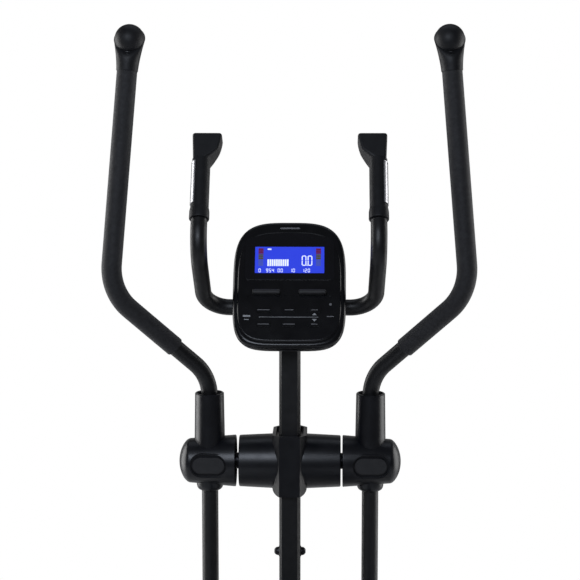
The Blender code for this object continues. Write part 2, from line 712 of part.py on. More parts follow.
def hub_cover(side, hanger):
    """Plastic hub: tapered barrel with a domed end, handlebar sleeve and bottom collar."""
    start, inner, outer = HUB_START[side], *HUB_RADIUS
    wall = 0.004
    dome = []
    rise, cap_radius = HUB_TIP - HUB_SHOULDER, outer - 0.0010
    bulge = (cap_radius ** 2 + rise ** 2) / (2 * rise)
    spread = math.asin(cap_radius / bulge)
    for i in range(5):
        angle = spread * (1 - i / 4)
        dome.append((HUB_TIP - bulge * (1 - math.cos(angle)), bulge * math.sin(angle)))
    dome[-1] = (HUB_TIP, 0.0)
    outside = [(start, 0), (start, inner - 0.001), (start + 0.001, inner), (HUB_SHOULDER - 0.0015, outer)] + dome
    axis = "X" if side > 0 else "-X"
    hub = turned(f"hub_cover_{SIDE_NAMES[side]}", outside, ORIGIN, axis, 24)
    x = side * ARM_X
    spot = (x, POST_Y, HUB_HEIGHT)
    rim = SLEEVE_RADIUS - 0.0010
    sleeve = [(0, 0), (0, SLEEVE_RADIUS + 0.0005), (0.060, SLEEVE_RADIUS), (SLEEVE_TOP - 0.001, rim),
              (SLEEVE_TOP, rim - 0.001), (SLEEVE_TOP, 0)]
    skirt = [(-0.0570, 0), (-0.0570, 0.0185), (-0.0550, 0.0225), (-0.0500, 0.0250), (-0.0300, 0.0265), (-0.0300, 0)]
    deeper = Matrix.Diagonal((1, SLEEVE_DEPTH, 1, 1))
    sleeve_body = turned("sleeve", sleeve, spot)
    sleeve_body.matrix_world = sleeve_body.matrix_world @ deeper
    mouth = rod("sleeve_mouth", SLEEVE_RADIUS - 0.0050, SLEEVE_TOP - 0.016, 0.02, spot, "Z", 14)
    mouth.matrix_world = mouth.matrix_world @ deeper
    cavity = [(start - 0.01, 0), (start - 0.01, inner - wall), (0.190, outer - wall), (0.2025, outer - 0.014), (0.2025, 0)]
    join(hub, sleeve_body, turned("skirt", skirt, spot))
    cut(
        hub,
        turned("cavity", cavity, ORIGIN, axis),
        rod("tube_hole", TUBE_RADIUS + 0.0006, -0.07, 0.23, spot, "Z", 12),
        mouth,
    )
    join(hub, prism("pad", obround(0.0365, 0.0230), -0.0415, -0.0370, badge_frame(side)))
    cut(hub, prism("pocket", obround(0.0355, 0.0220), -0.0600, -PLUG_SEAT, badge_frame(side)))
    return finish(hub, "satin_plastic", hanger)


def badge_frame(side):
    """Frame of the obround plug on the user's side of a hub, drawn X across and Z up."""
    turn = Matrix.Rotation(math.radians(90), 4, "X")
    flip = Matrix.Rotation(math.pi, 4, "Y")
    return Matrix.Translation((side * ARM_X, POST_Y, HUB_HEIGHT - 0.001)) @ turn @ flip


def hub_plug(side, hanger):
    """Obround plug that covers the hub's clamp screw."""
    plug = prism(f"hub_plug_{SIDE_NAMES[side]}", obround(0.0305, 0.0155), -0.0440, -PLUG_SEAT - GAP, badge_frame(side))
    return finish(rounded(plug, 0.0008, 1, 60), "matt_plastic", hanger)


def handlebar_corners(side):
    """Corners of a moving handlebar, from its seat on the arm to its top."""
    seat = Vector((ARM_X, 0.0, 0.0318))
    low_bend = Vector((ARM_X, 0.0, 0.1660))
    high_bend = Vector((0.3340, -0.095, 0.341))
    top = CAP_CENTRE - (CAP_CENTRE - high_bend).normalized() * CAP_OVER_TUBE
    return [ORIGIN + Vector((side * p.x, p.y, p.z)) for p in (seat, low_bend, high_bend, top)]



def handlebar(side, hanger):
    points = bent_path(handlebar_corners(side), HANDLEBAR_BENDS)
    bar = pipe(f"handlebar_{SIDE_NAMES[side]}", points, TUBE_RADIUS, TUBE_WALL)
    return finish(bar, "powder_coat", hanger)


def foam_points(side):
    """The handlebar's path from where the foam starts up to the cap."""
    corners = handlebar_corners(side)
    start = corners[1].lerp(corners[2], 0.355)
    end = corners[3] + (corners[2] - corners[3]).normalized() * 0.005
    return bent_path([start, corners[2], end], HANDLEBAR_BENDS[1:])


def foam_grip(side, hanger):
    wall = FOAM_RADIUS - TUBE_RADIUS - 0.0006
    foam = pipe(f"foam_grip_{SIDE_NAMES[side]}", foam_points(side), FOAM_RADIUS, wall)
    return finish(foam, "foam", hanger)


def cap_frame(side):
    """Frame at the top of a handlebar, +Z along the tube."""
    corners = handlebar_corners(side)
    along = (corners[3] - corners[2]).normalized()
    return along.to_track_quat("Z", "Y").to_matrix()


def grip_cap(side, hanger):
    """Trumpet-shaped end cap with a domed face turned 45 degrees towards the user."""
    top = handlebar_corners(side)[3]
    turn = cap_frame(side)
    flare = [(-0.0350, 0.0)]
    for i in range(4):
        share = i / 3
        flare.append((-0.0350 + 0.052 * share, 0.0200 + 0.0085 * share ** 2))
    flare.append((0.0170, 0.0))
    cap = turned(f"grip_cap_{SIDE_NAMES[side]}", flare, top, frame=turn)
    centre = top + turn @ Vector((0, 0, CAP_OVER_TUBE))
    facing = Vector((0, -1, 1)).normalized().to_track_quat("Z", "Y").to_matrix()
    ball_profile = [(-0.0290, 0)]
    for i in range(1, 8):
        angle = math.radians(180 * i / 8)
        ball_profile.append((-0.0290 * math.cos(angle), 0.0290 * math.sin(angle)))
    ball_profile.append((0.0290, 0))
    ball = turned("ball", ball_profile, centre, frame=facing)
    bore_profile = [(-0.0360, 0), (-0.0360, FOAM_RADIUS + 0.0010), (-0.0040, FOAM_RADIUS + 0.0010),
                    (-0.0040, TUBE_RADIUS + 0.0006), (GAP, TUBE_RADIUS + 0.0006), (GAP, 0)]
    bore = turned("bore", bore_profile, top, sides=16, frame=turn)
    cut(join(cap, ball), bore)
    return finish(cap, "matt_plastic", hanger)


# ---- Pedal bars and pedals -----------------------------------------------------------------------
def pedal_frame(side):
    """Frame at an arm's lower pivot, with -Y along the pedal bar to the crank pin."""
    slope = math.atan2(CRANK_RADIUS, CRANK_REACH)
    turn = Matrix.Rotation(-side * slope, 4, "X")
    return Matrix.Translation((side * ARM_X, POST_Y, CRANK_HEIGHT)) @ turn


def pedal_bar(side, hanger):
    """Bar from the arm's fork to the crank pin, with the pin's stub pointing inwards."""
    frame = pedal_frame(side)
    length = math.hypot(CRANK_RADIUS, CRANK_REACH)
    half_x, half_z = BAR_SIZE[0] / 2, BAR_SIZE[1] / 2
    name = f"pedal_bar_{SIDE_NAMES[side]}"
    bar = rounded(local_box(name, (-half_x, -length + 0.01, -half_z), (half_x, -0.042, half_z), frame), 0.003, 1)
    eye = rod("eye", 0.0195, -0.0227, 0.0454, (0, 0, 0))
    neck = box("neck", (-0.011, -0.046, -0.0150), (0.011, -0.005, 0.0150))
    boss = rod("boss", 0.0300, -0.0240, 0.0480, (0, -length, 0), "X", 20)
    for piece in (eye, neck, boss):
        bpy.context.view_layer.update()
        piece.matrix_world = frame @ piece.matrix_world
    pin_end = DISC_OUTER_X + 0.0005
    pin_profile = [(pin_end, 0), (pin_end, 0.0125), (0.1000, 0.0125), (0.1000, 0.0180), (ARM_X - 0.01, 0.0180),
                   (ARM_X - 0.01, 0)]
    pin_spot = (0, CRANK_Y, CRANK_HEIGHT + side * CRANK_RADIUS)
    pin = turned("pin", pin_profile, pin_spot, "X" if side > 0 else "-X", 18)
    join(bar, eye, neck, boss, pin)
    hollow = local_box("hollow", (-half_x + 0.0025, -length + 0.034, -half_z + 0.0025),
                       (half_x - 0.0025, -0.0485, half_z - 0.0025), frame)
    drain = local_box("drain", (-0.003, -length + 0.080, -half_z - 0.01), (0.003, -length + 0.088, 0), frame)
    bolt = rod("bolt_hole", 0.0054, -0.04, 0.08, (side * ARM_X, POST_Y, CRANK_HEIGHT), "X", 12)
    cut(bar, hollow, drain, bolt)
    return finish(bar, "powder_coat", hanger)


def pivot_bolt(side, hanger):
    name = f"lower_pivot_bolt_{SIDE_NAMES[side]}"
    centre = (side * ARM_X, POST_Y, CRANK_HEIGHT)
    return domed_bolt(name, 0.028, 0.0050, 0.0085, 0.0080, centre, "steel", hanger)


def pedal_outline(inset=0.0):
    """Footprint of a pedal, narrower at its heel, drawn X across and Y forward."""
    half_w, half_l = PEDAL_SIZE[0] / 2 - inset, PEDAL_SIZE[1] / 2 - inset
    toe = arc((half_w - 0.040, half_l - 0.040), 0.040, 0, 90, 5)
    toe += arc((-half_w + 0.040, half_l - 0.040), 0.040, 90, 180, 5)
    heel = arc((-half_w + 0.038, -half_l + 0.030), 0.030, 180, 270, 5)
    heel += arc((half_w - 0.038, -half_l + 0.030), 0.030, 270, 360, 5)
    return toe + heel


def foot_pedal(side, hanger):
    """Moulded foot plate with a raised rim, highest at the toe, standing on the bar."""
    base = BAR_SIZE[1] / 2 + GAP
    frame = pedal_frame(side) @ Matrix.Translation((0, -PEDAL_SETBACK, 0))
    pedal = prism(f"foot_pedal_{SIDE_NAMES[side]}", pedal_outline(), base + 0.010, base + 0.072, frame)
    rounded(pedal, 0.004, 2, 60)
    foot_space = prism("foot_space", pedal_outline(0.007), base + 0.020, base + 0.100, frame)
    # The rim is sloped off: full height at the toe, low along the sides and the heel.
    half_l = PEDAL_SIZE[1] / 2
    side_profile = [(-half_l - 0.01, base + 0.030), (0.02, base + 0.038), (half_l - 0.045, base + 0.072),
                    (half_l - 0.045, base + 0.12), (-half_l - 0.01, base + 0.12)]
    slope_frame = frame @ SIDE_VIEW
    slope = prism("slope", side_profile, -0.1, 0.1, slope_frame)
    mount = local_box("mount", (-0.020, -0.110, base), (0.020, 0.090, base + 0.014), frame)
    cut(join(pedal, mount), foot_space, slope)
    return finish(pedal, "matt_plastic", hanger)


# ---- Fixed handlebar ------------------------------------------------------------------------------
def grip_direction():
    return Vector((0, math.sin(GRIP_LEAN), math.cos(GRIP_LEAN)))


def grip_frame(side):
    """Frame at the lower ring of a fixed grip, +Z along the grip and +X out from the machine."""
    along = grip_direction()
    across = Vector((side, 0, 0))
    third = along.cross(across)
    turn = Matrix((across, third, along)).transposed().to_4x4()
    spot = ORIGIN + Vector((side * KNEE.x, KNEE.y, KNEE.z)) + along * GRIP_START
    return Matrix.Translation(spot) @ turn


def fixed_handlebar():
    """One bent tube: across the post's top, towards the user at the sides, then up the grips."""
    half = [Vector((GRIP_BAR_HALF, 0, GRIP_BAR_HEIGHT)), KNEE, KNEE + grip_direction() * GRIP_START]
    left = [ORIGIN + Vector((-p.x, p.y, p.z)) for p in reversed(half)]
    right = [ORIGIN + p for p in half]
    points = bent_path(left + right, (0.060, 0.050, 0.050, 0.060), math.radians(20))
    for step in (grip_direction() * 0.001, grip_direction() * (GRIP_LENGTH + HEAD_LENGTH * 0.35)):
        points = [points[0] + step, *points, points[-1] + step]
    bar = pipe("fixed_handlebar", points, GRIP_BAR_RADIUS, 0.0018, thin_ends=SPIGOT_RADIUS / GRIP_BAR_RADIUS)
    return finish(bar, "powder_coat")


def handlebar_clamp():
    """Clamp block that holds the fixed handlebar down on the post's top."""
    low = HUB_HEIGHT + GRIP_BAR_HEIGHT + GAP
    clamp = box("handlebar_clamp", (-0.022, POST_Y - 0.0255, low), (0.022, POST_Y + 0.0380, low + 0.026))
    rounded(clamp, 0.004, 2, 60)
    cut(clamp, rod("bar_space", GRIP_BAR_RADIUS + GAP, -0.05, 0.10,
                   (0, POST_Y, HUB_HEIGHT + GRIP_BAR_HEIGHT), sides=20))
    return finish(clamp, "dark_steel")


def grip_body(name, frame):
    """A straight sleeve that swells to a ring at its bottom."""
    profile = [
        (0.0015, 0),
        (0.0015, GRIP_RADIUS),
        (0.004, GRIP_RADIUS + 0.0012),
        (0.018, GRIP_RADIUS + 0.0010),
        (0.030, GRIP_RADIUS - 0.0004),
        (GRIP_LENGTH + 0.020, GRIP_RADIUS - 0.0004),
        (GRIP_LENGTH + 0.020, 0),
    ]
    return turned(name, profile, frame.translation, frame=frame.to_3x3())


def grip_head(frame):
    """The flared top of a fixed grip: it widens towards the machine's middle only."""
    levels = 4
    bm = bmesh.new()
    bmesh.ops.create_cube(bm, size=2.0)
    upright = [e for e in bm.edges if abs(e.verts[0].co.z - e.verts[1].co.z) > 1]
    bmesh.ops.subdivide_edges(bm, edges=upright, cuts=levels - 1, use_grid_fill=True)
    for vert in bm.verts:
        share = (vert.co.z + 1) / 2
        outer = GRIP_RADIUS - 0.0030 * (1 - share)
        inner = GRIP_RADIUS - 0.0030 + 0.0240 * (1 - (1 - share) ** 2)
        x = outer if vert.co.x > 0 else -inner
        y = vert.co.y * (0.0150 + 0.0035 * share)
        vert.co = (x, y, GRIP_LENGTH + HEAD_LENGTH * (0.05 + 0.95 * share))
    obj = from_bmesh("grip_head", bm)
    obj.matrix_world = frame
    return rounded(obj, 0.0060, 2, 50)


def fixed_grip(side):
    frame = grip_frame(side)
    grip = grip_body(f"fixed_grip_{SIDE_NAMES[side]}", frame)
    join(grip, grip_head(frame))
    bore_end = GRIP_LENGTH + HEAD_LENGTH * 0.35 + 0.002
    bore = turned("bore", [(-0.01, 0), (-0.01, SPIGOT_RADIUS + 0.0004), (bore_end, SPIGOT_RADIUS + 0.0004),
                           (bore_end, 0)], frame.translation, sides=14, frame=frame.to_3x3())
    cut(grip, plate_shape("plate_seat", frame, -GAP), bore)
    return finish(grip, "matt_plastic")


def plate_shape(name, frame, shrink):
    """The pulse plate: a curved strip on the outer side of the grip, or its seat."""
    low, high = 0.030 + shrink, GRIP_LENGTH + 0.012 - shrink
    inner, outer = GRIP_RADIUS - 0.0016 + shrink, GRIP_RADIUS + 0.0012 - 2 * shrink
    spread = math.radians(70) - shrink / GRIP_RADIUS
    steps = 5
    outline = []
    for i in range(steps + 1):
        angle = -spread + 2 * spread * i / steps
        outline.append((outer * math.cos(angle), outer * math.sin(angle)))
    for i in range(steps + 1):
        angle = spread - 2 * spread * i / steps
        outline.append((inner * math.cos(angle), inner * math.sin(angle)))
    return prism(name, outline, low, high, frame)


def pulse_plate(side):
    plate = plate_shape(f"pulse_plate_{SIDE_NAMES[side]}", grip_frame(side), 0.0)
    return finish(plate, "pulse_metal")


# ---- Console -----------------------------------------------------------------------------------------
def lens_outline(grow=0.0):
    """The display window: straight sides and an arched top."""
    half, low, high, rise, corner = 0.0848 + grow, 0.0060 - grow, 0.0950 + grow, 0.0100, 0.014
    foot = corner / 2
    points = arc((half - foot, low + foot), foot, -90, 0, 3)
    points += arc((half - corner, high - corner), corner, 0, 75, 3)
    top_left = [(-x, y) for x, y in reversed(points)]
    inner = points[-1][0]
    arch = [(inner * (1 - i / 3), high + rise * (1 - (1 - i / 3) ** 2)) for i in range(1, 6)]
    return points + arch + top_left


def console_front(hanger):
    """Front shell with the window seat, the reading ledges and the key openings."""
    frame = hanger.matrix_world
    shell = prism("console_front", console_outline(), -CONSOLE_FRONT_DEPTH, 0, frame)
    rounded(shell, 0.0060, 2, 60)
    for low_x, high_x in ((-0.0690, -0.0165), (0.0175, 0.0695)):
        ledge = local_box("ledge", (low_x, -0.0260, -0.002), (high_x, -0.0170, 0.0110), frame)
        join(shell, rounded(ledge, 0.0020, 1, 60))
    cut(
        shell,
        prism("inside", console_outline(0.94), -CONSOLE_FRONT_DEPTH - 0.01, -CONSOLE_WALL, frame),
        prism("lens_seat", lens_outline(GAP), -LENS_DEPTH - GAP, 0.01, frame),
    )
    for row in KEY_ROWS:
        for column in KEY_COLUMNS:
            half_w, half_h = KEY_SIZE[0] / 2 + GAP, KEY_SIZE[1] / 2 + GAP
            opening = rounded_rectangle(half_w, half_h, 0.003, (column, row), 2)
            cut(shell, prism("key_opening", opening, -0.01, 0.01, frame))
    return finish(shell, "satin_plastic", hanger)


def console_back(hanger):
    """Rear shell of the console, dished, open to the front."""
    frame = hanger.matrix_world
    shell = prism("console_back", console_outline(0.985), -CONSOLE_DEPTH, -CONSOLE_FRONT_DEPTH - GAP, frame)
    rounded(shell, 0.0080, 2, 60)
    cut(shell, prism("inside", console_outline(0.92), -CONSOLE_DEPTH + 0.003, 0, frame))
    return finish(shell, "matt_plastic", hanger)


def console_lens(hanger):
    frame = hanger.matrix_world
    return finish(prism("console_lens", lens_outline(), -LENS_DEPTH, 0.0, frame), "lens_plastic", hanger)


def circuit_board(hanger):
    board = prism("circuit_board", rounded_rectangle(0.082, 0.096, 0.004), -0.0085, -0.0069, hanger.matrix_world)
    return finish(board, "circuit_board", hanger)


def console_key(name, column, row, hanger):
    outline = rounded_rectangle(KEY_SIZE[0] / 2, KEY_SIZE[1] / 2, 0.003, (column, row), 2)
    key = prism(name, outline, 0.0007 - KEY_SIZE[2], 0.0007, hanger.matrix_world)
    spot = hanger.matrix_world @ Vector((column, row, 0))
    return finish(key, "matt_plastic", empty(name + "_axis", spot, hanger.rotation_euler))


# ---- Drive ----------------------------------------------------------------------------------------------
def casing(side):
    """One half of the drive casing: a drum around the crank with a nose around the flywheel."""
    name = f"casing_{SIDE_NAMES[side]}"
    outline = belt_outline(CRANK_SPOT, CASING_RADIUS, FLYWHEEL_SPOT, NOSE_RADIUS)
    inside = belt_outline(
        CRANK_SPOT, CASING_RADIUS - CASING_WALL, FLYWHEEL_SPOT, NOSE_RADIUS - CASING_WALL
    )
    low, high = sorted((side * GAP / 2, side * CASING_HALF_WIDTH))
    shell = prism(name, outline, low, high, SIDE_VIEW)
    rounded(shell, 0.010, 2, 60)
    inner_low, inner_high = sorted((-side * 0.02, side * (CASING_HALF_WIDTH - CASING_WALL)))
    half = RAIL_SIZE[0] / 2 + 2 * GAP
    other_low, other_high = sorted((-side * 0.03, side * GAP / 2))
    cut(
        shell,
        prism("inside", inside, inner_low, inner_high, SIDE_VIEW),
        box("rail_space", (-half, CRANK_Y - 0.5, 0), (half, CRANK_Y + 0.8, RAIL_TOP + 2 * GAP)),
        rod("axle_hole", 0.016, -0.1, 0.2, (0, CRANK_Y, CRANK_HEIGHT), sides=20),
        box("other_half", (other_low, CRANK_Y - 0.5, 0), (other_high, CRANK_Y + 0.8, 0.6)),
    )
    return finish(shell, "satin_plastic")


def crankset(hanger):
    """Crank axle with a crank arm at each end, right arm up and left arm down."""
    centre = (0, CRANK_Y, CRANK_HEIGHT)
    crank = rod("crankset", 0.0120, -0.0735, 0.1470, centre)
    for side in (RIGHT, LEFT):
        low_x, high_x = sorted((side * 0.0600, side * 0.0720))
        low_z, high_z = sorted((CRANK_HEIGHT - side * 0.022, CRANK_HEIGHT + side * (CRANK_RADIUS + 0.020)))
        arm = box("crank_arm", (low_x, CRANK_Y - 0.016, low_z), (high_x, CRANK_Y + 0.016, high_z))
        join(crank, rounded(arm, 0.004, 1))
    return finish(crank, "dark_steel", hanger)


def crank_disc(side, hanger):
    """Round cover that turns with the crank and hides the crank arm."""
    rim, face, wall = DISC_INNER_X, DISC_OUTER_X, DISC_WALL
    profile = [
        (face, 0),
        (face, DISC_RADIUS - 0.012),
        (face - 0.0012, DISC_RADIUS - 0.006),
        (face - 0.0045, DISC_RADIUS - 0.0018),
        (face - 0.009, DISC_RADIUS),
        (rim, DISC_RADIUS),
        (rim, DISC_RADIUS - wall),
        (face - 0.009, DISC_RADIUS - wall),
        (face - wall, DISC_RADIUS - 0.013),
        (face - wall, 0),
    ]
    axis = "X" if side > 0 else "-X"
    disc = turned(f"crank_disc_{SIDE_NAMES[side]}", profile, (0, CRANK_Y, CRANK_HEIGHT), axis, 32)
    return finish(disc, "satin_plastic", hanger)


def drive_pulley(hanger):
    """Large belt pulley on the crank axle: hub, web and flanged rim."""
    low, high = BELT_X - BELT_WIDTH / 2 - 0.002, BELT_X + BELT_WIDTH / 2 + 0.002
    groove = PULLEY_RADIUS - BELT_THICKNESS - 3 * GAP
    bore = 0.0120 + GAP
    profile = [
        (low - 0.002, bore),
        (low - 0.002, 0.026),
        (BELT_X - 0.003, 0.026),
        (BELT_X - 0.003, groove - 0.008),
        (low, groove - 0.008),
        (low, PULLEY_RADIUS),
        (low + 0.0015, PULLEY_RADIUS),
        (low + 0.0015, groove),
        (high - 0.0015, groove),
        (high - 0.0015, PULLEY_RADIUS),
        (high, PULLEY_RADIUS),
        (high, groove - 0.008),
        (BELT_X + 0.003, groove - 0.008),
        (BELT_X + 0.003, 0.026),
        (-0.0150, 0.026),
        (-0.0150, bore),
    ]
    pulley = turned("drive_pulley", profile, (0, CRANK_Y, CRANK_HEIGHT), "X", 20)
    return finish(pulley, "matt_plastic", hanger)


def flywheel(hanger):
    """Flywheel with its axle and the small belt sheave turned in one piece."""
    sheave = SHEAVE_RADIUS - GAP
    profile = [
        (-0.0470, 0),
        (-0.0470, 0.0060),
        (BELT_X - 0.0105, 0.0060),
        (BELT_X - 0.0105, 0.0190),
        (BELT_X - 0.0085, 0.0190),
        (BELT_X - 0.0085, sheave),
        (BELT_X + 0.0085, sheave),
        (BELT_X + 0.0085, 0.0190),
        (BELT_X + 0.0105, 0.0190),
        (BELT_X + 0.0105, 0.0100),
        (-0.0060, 0.0100),
        (-0.0060, 0.0240),
        (0.0060, 0.0300),
        (0.0060, FLYWHEEL_RADIUS - 0.022),
        (-0.0020, FLYWHEEL_RADIUS - 0.020),
        (-0.0020, FLYWHEEL_RADIUS),
        (0.0280, FLYWHEEL_RADIUS),
        (0.0280, FLYWHEEL_RADIUS - 0.020),
        (0.0180, FLYWHEEL_RADIUS - 0.022),
        (0.0180, 0.0300),
        (0.0300, 0.0240),
        (0.0300, 0.0060),
        (0.0470, 0.0060),
        (0.0470, 0),
    ]
    return finish(turned("flywheel", profile, (0, *FLYWHEEL_SPOT), "X", 20), "steel", hanger)


def drive_belt():
    """Ribbed belt around the pulley and the sheave."""
    pulley = PULLEY_RADIUS - BELT_THICKNESS
    low, high = BELT_X - BELT_WIDTH / 2, BELT_X + BELT_WIDTH / 2
    outer = belt_outline(
        CRANK_SPOT, pulley + BELT_THICKNESS - 2 * GAP, FLYWHEEL_SPOT, SHEAVE_RADIUS + BELT_THICKNESS - GAP, 22, 6
    )
    inner = belt_outline(CRANK_SPOT, pulley, FLYWHEEL_SPOT, SHEAVE_RADIUS, 22, 6)
    belt = prism("drive_belt", outer, low, high, SIDE_VIEW)
    cut(belt, prism("loop", inner, low - 0.01, high + 0.01, SIDE_VIEW))
    return finish(belt, "rubber")


def brake_bracket(hanger):
    """Curved bracket with the magnets, swung nearer to or away from the flywheel's rim."""
    inner, outer = FLYWHEEL_RADIUS + 0.003, FLYWHEEL_RADIUS + 0.013
    outline = arc(FLYWHEEL_SPOT, outer, -48, 42, 9) + arc(FLYWHEEL_SPOT, inner, 42, -48, 9)
    bracket = prism("brake_bracket", outline, 0.0, 0.026, SIDE_VIEW)
    eye = rod("eye", 0.009, 0.0, 0.026, (0, *brake_pivot()), "X", 16)
    cut(join(bracket, eye), rod("pin_hole", 0.0033, -0.01, 0.05, (0, *brake_pivot()), "X", 12))
    return finish(bracket, "dark_steel", hanger)


# ---- Assembly ---------------------------------------------------------------------------------------------
def build_base():
    base_frame()
    stabiliser("front_stabiliser", POST_Y + FRONT_FOOT_REACH)
    stabiliser("rear_stabiliser", POST_Y - REAR_FOOT_REACH)
    for side in (RIGHT, LEFT):
        front_end_cap(side)
        transport_wheel(side)
        levelling_cap(side)


def build_post():
    upper_post()
    domed_bolt("post_bolt", POST_SIZE[0] / 2, 0.0040, 0.0066, 0.0085, (0, POST_Y, POST_BOLT_HEIGHT), "dark_steel")
    arm_axle()
    tee_cover("tee_cover_rear", True)
    tee_cover("tee_cover_front", False)
    fixed_handlebar()
    handlebar_clamp()
    for side in (RIGHT, LEFT):
        fixed_grip(side)
        pulse_plate(side)


def build_arms():
    for side in (RIGHT, LEFT):
        axis = arm_axis(side)
        for make in (lower_arm, arm_bushing, hub_cover, hub_plug, handlebar, foam_grip, grip_cap, pivot_bolt):
            make(side, axis)
        pivot = empty(f"{SIDE_NAMES[side]}_lower_pivot", (side * ARM_X, POST_Y, CRANK_HEIGHT), parent=axis)
        pedal_bar(side, pivot)
        foot_pedal(side, pivot)


def build_console():
    hanger = empty("console_face", ORIGIN + CONSOLE_CENTRE, (math.radians(90) - CONSOLE_TILT, 0, 0))
    console_front(hanger)
    console_back(hanger)
    console_lens(hanger)
    circuit_board(hanger)
    for row, names in zip(KEY_ROWS, KEY_NAMES):
        for column, name in zip(KEY_COLUMNS, names):
            console_key(name, column, row, hanger)


def build_drive():
    casing(RIGHT)
    casing(LEFT)
    crank_axis = empty("crank_axis", (0, CRANK_Y, CRANK_HEIGHT))
    crankset(crank_axis)
    crank_disc(RIGHT, crank_axis)
    crank_disc(LEFT, crank_axis)
    drive_pulley(crank_axis)
    flywheel(empty("flywheel_axis", (0, *FLYWHEEL_SPOT)))
    drive_belt()
    brake_bracket(empty("brake_axis", (0, *brake_pivot())))


build_base()
build_post()
build_arms()
build_console()
build_drive()
bpy.context.view_layer.update()
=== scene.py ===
"""Looks of the elliptical trainer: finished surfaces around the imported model.

Every piece is built in metres in the model's own frame: +Z up, +Y to the front of the
machine, +X to the user's right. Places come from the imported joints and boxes.
"""
import json
from math import acos, atan2, ceil, copysign, cos, degrees, hypot, pi, radians, sin, tan

import bmesh
import bpy
from mathutils import Matrix, Vector


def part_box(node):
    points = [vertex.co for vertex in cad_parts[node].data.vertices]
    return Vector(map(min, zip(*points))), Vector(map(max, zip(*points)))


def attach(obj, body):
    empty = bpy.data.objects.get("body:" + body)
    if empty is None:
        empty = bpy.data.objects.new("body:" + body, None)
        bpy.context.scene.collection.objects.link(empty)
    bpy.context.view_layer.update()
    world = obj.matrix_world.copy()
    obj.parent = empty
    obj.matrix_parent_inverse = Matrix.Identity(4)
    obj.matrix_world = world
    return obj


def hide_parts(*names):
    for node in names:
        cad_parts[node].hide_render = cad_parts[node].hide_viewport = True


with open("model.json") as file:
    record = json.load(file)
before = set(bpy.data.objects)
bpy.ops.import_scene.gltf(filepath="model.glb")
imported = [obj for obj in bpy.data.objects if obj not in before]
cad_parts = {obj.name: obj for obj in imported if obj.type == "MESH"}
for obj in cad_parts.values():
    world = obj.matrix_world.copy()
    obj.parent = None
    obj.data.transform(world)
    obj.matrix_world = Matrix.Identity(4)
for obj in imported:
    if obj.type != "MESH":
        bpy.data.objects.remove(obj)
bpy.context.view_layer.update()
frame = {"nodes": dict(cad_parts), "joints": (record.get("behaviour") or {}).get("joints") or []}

RIGHT, LEFT = 1, -1
SIDE_NAMES = {RIGHT: "right", LEFT: "left"}
JOINTS = {joint["name"]: joint for joint in frame["joints"]}
ARM = Vector(JOINTS["right_arm_swing"]["pos_m"])
LOWER_PIVOT = Vector(JOINTS["right_pedal_pivot"]["pos_m"])
CRANK = Vector(JOINTS["crank_spin"]["pos_m"])
FLYWHEEL = Vector(JOINTS["flywheel_spin"]["pos_m"])
ORIGIN = Vector((0, ARM.y, ARM.z))
ARM_X = ARM.x
POST_Y = ARM.y

# Sizes shared with the CAD model
GAP = 0.0003
TUBE_RADIUS, TUBE_WALL = 0.016, 0.0015
FOAM_RADIUS, FOAM_WALL = 0.019, 0.0026
HANDLEBAR_BENDS = (0.085, 0.1)
CAP_CENTRE = Vector((0.2957, -0.055, 0.807))
CAP_OVER_TUBE = 0.024
GRIP_BAR_RADIUS, GRIP_BAR_WALL = 0.0155, 0.0018
KNEE = Vector((0.1665, -0.125, 0.422))
GRIP_LEAN = radians(32.5)
GRIP_RADIUS = 0.0176
GRIP_START, GRIP_LENGTH, HEAD_LENGTH = 0.062, 0.109, 0.07
SLEEVE_DEPTH = 1.15
CONSOLE_CENTRE = Vector((0, -0.055, 0.354))
CONSOLE_TILT = radians(32)
CONSOLE_HALF = (0.1065, 0.131)


# ---- Materials ----
NOISE, CELLS = "ShaderNodeTexNoise", "ShaderNodeTexVoronoi"


def set_inputs(node, **values):
    """Set uniform values on the node's own sockets."""
    for socket, value in values.items():
        node.inputs[socket.replace("_", " ")].default_value = value


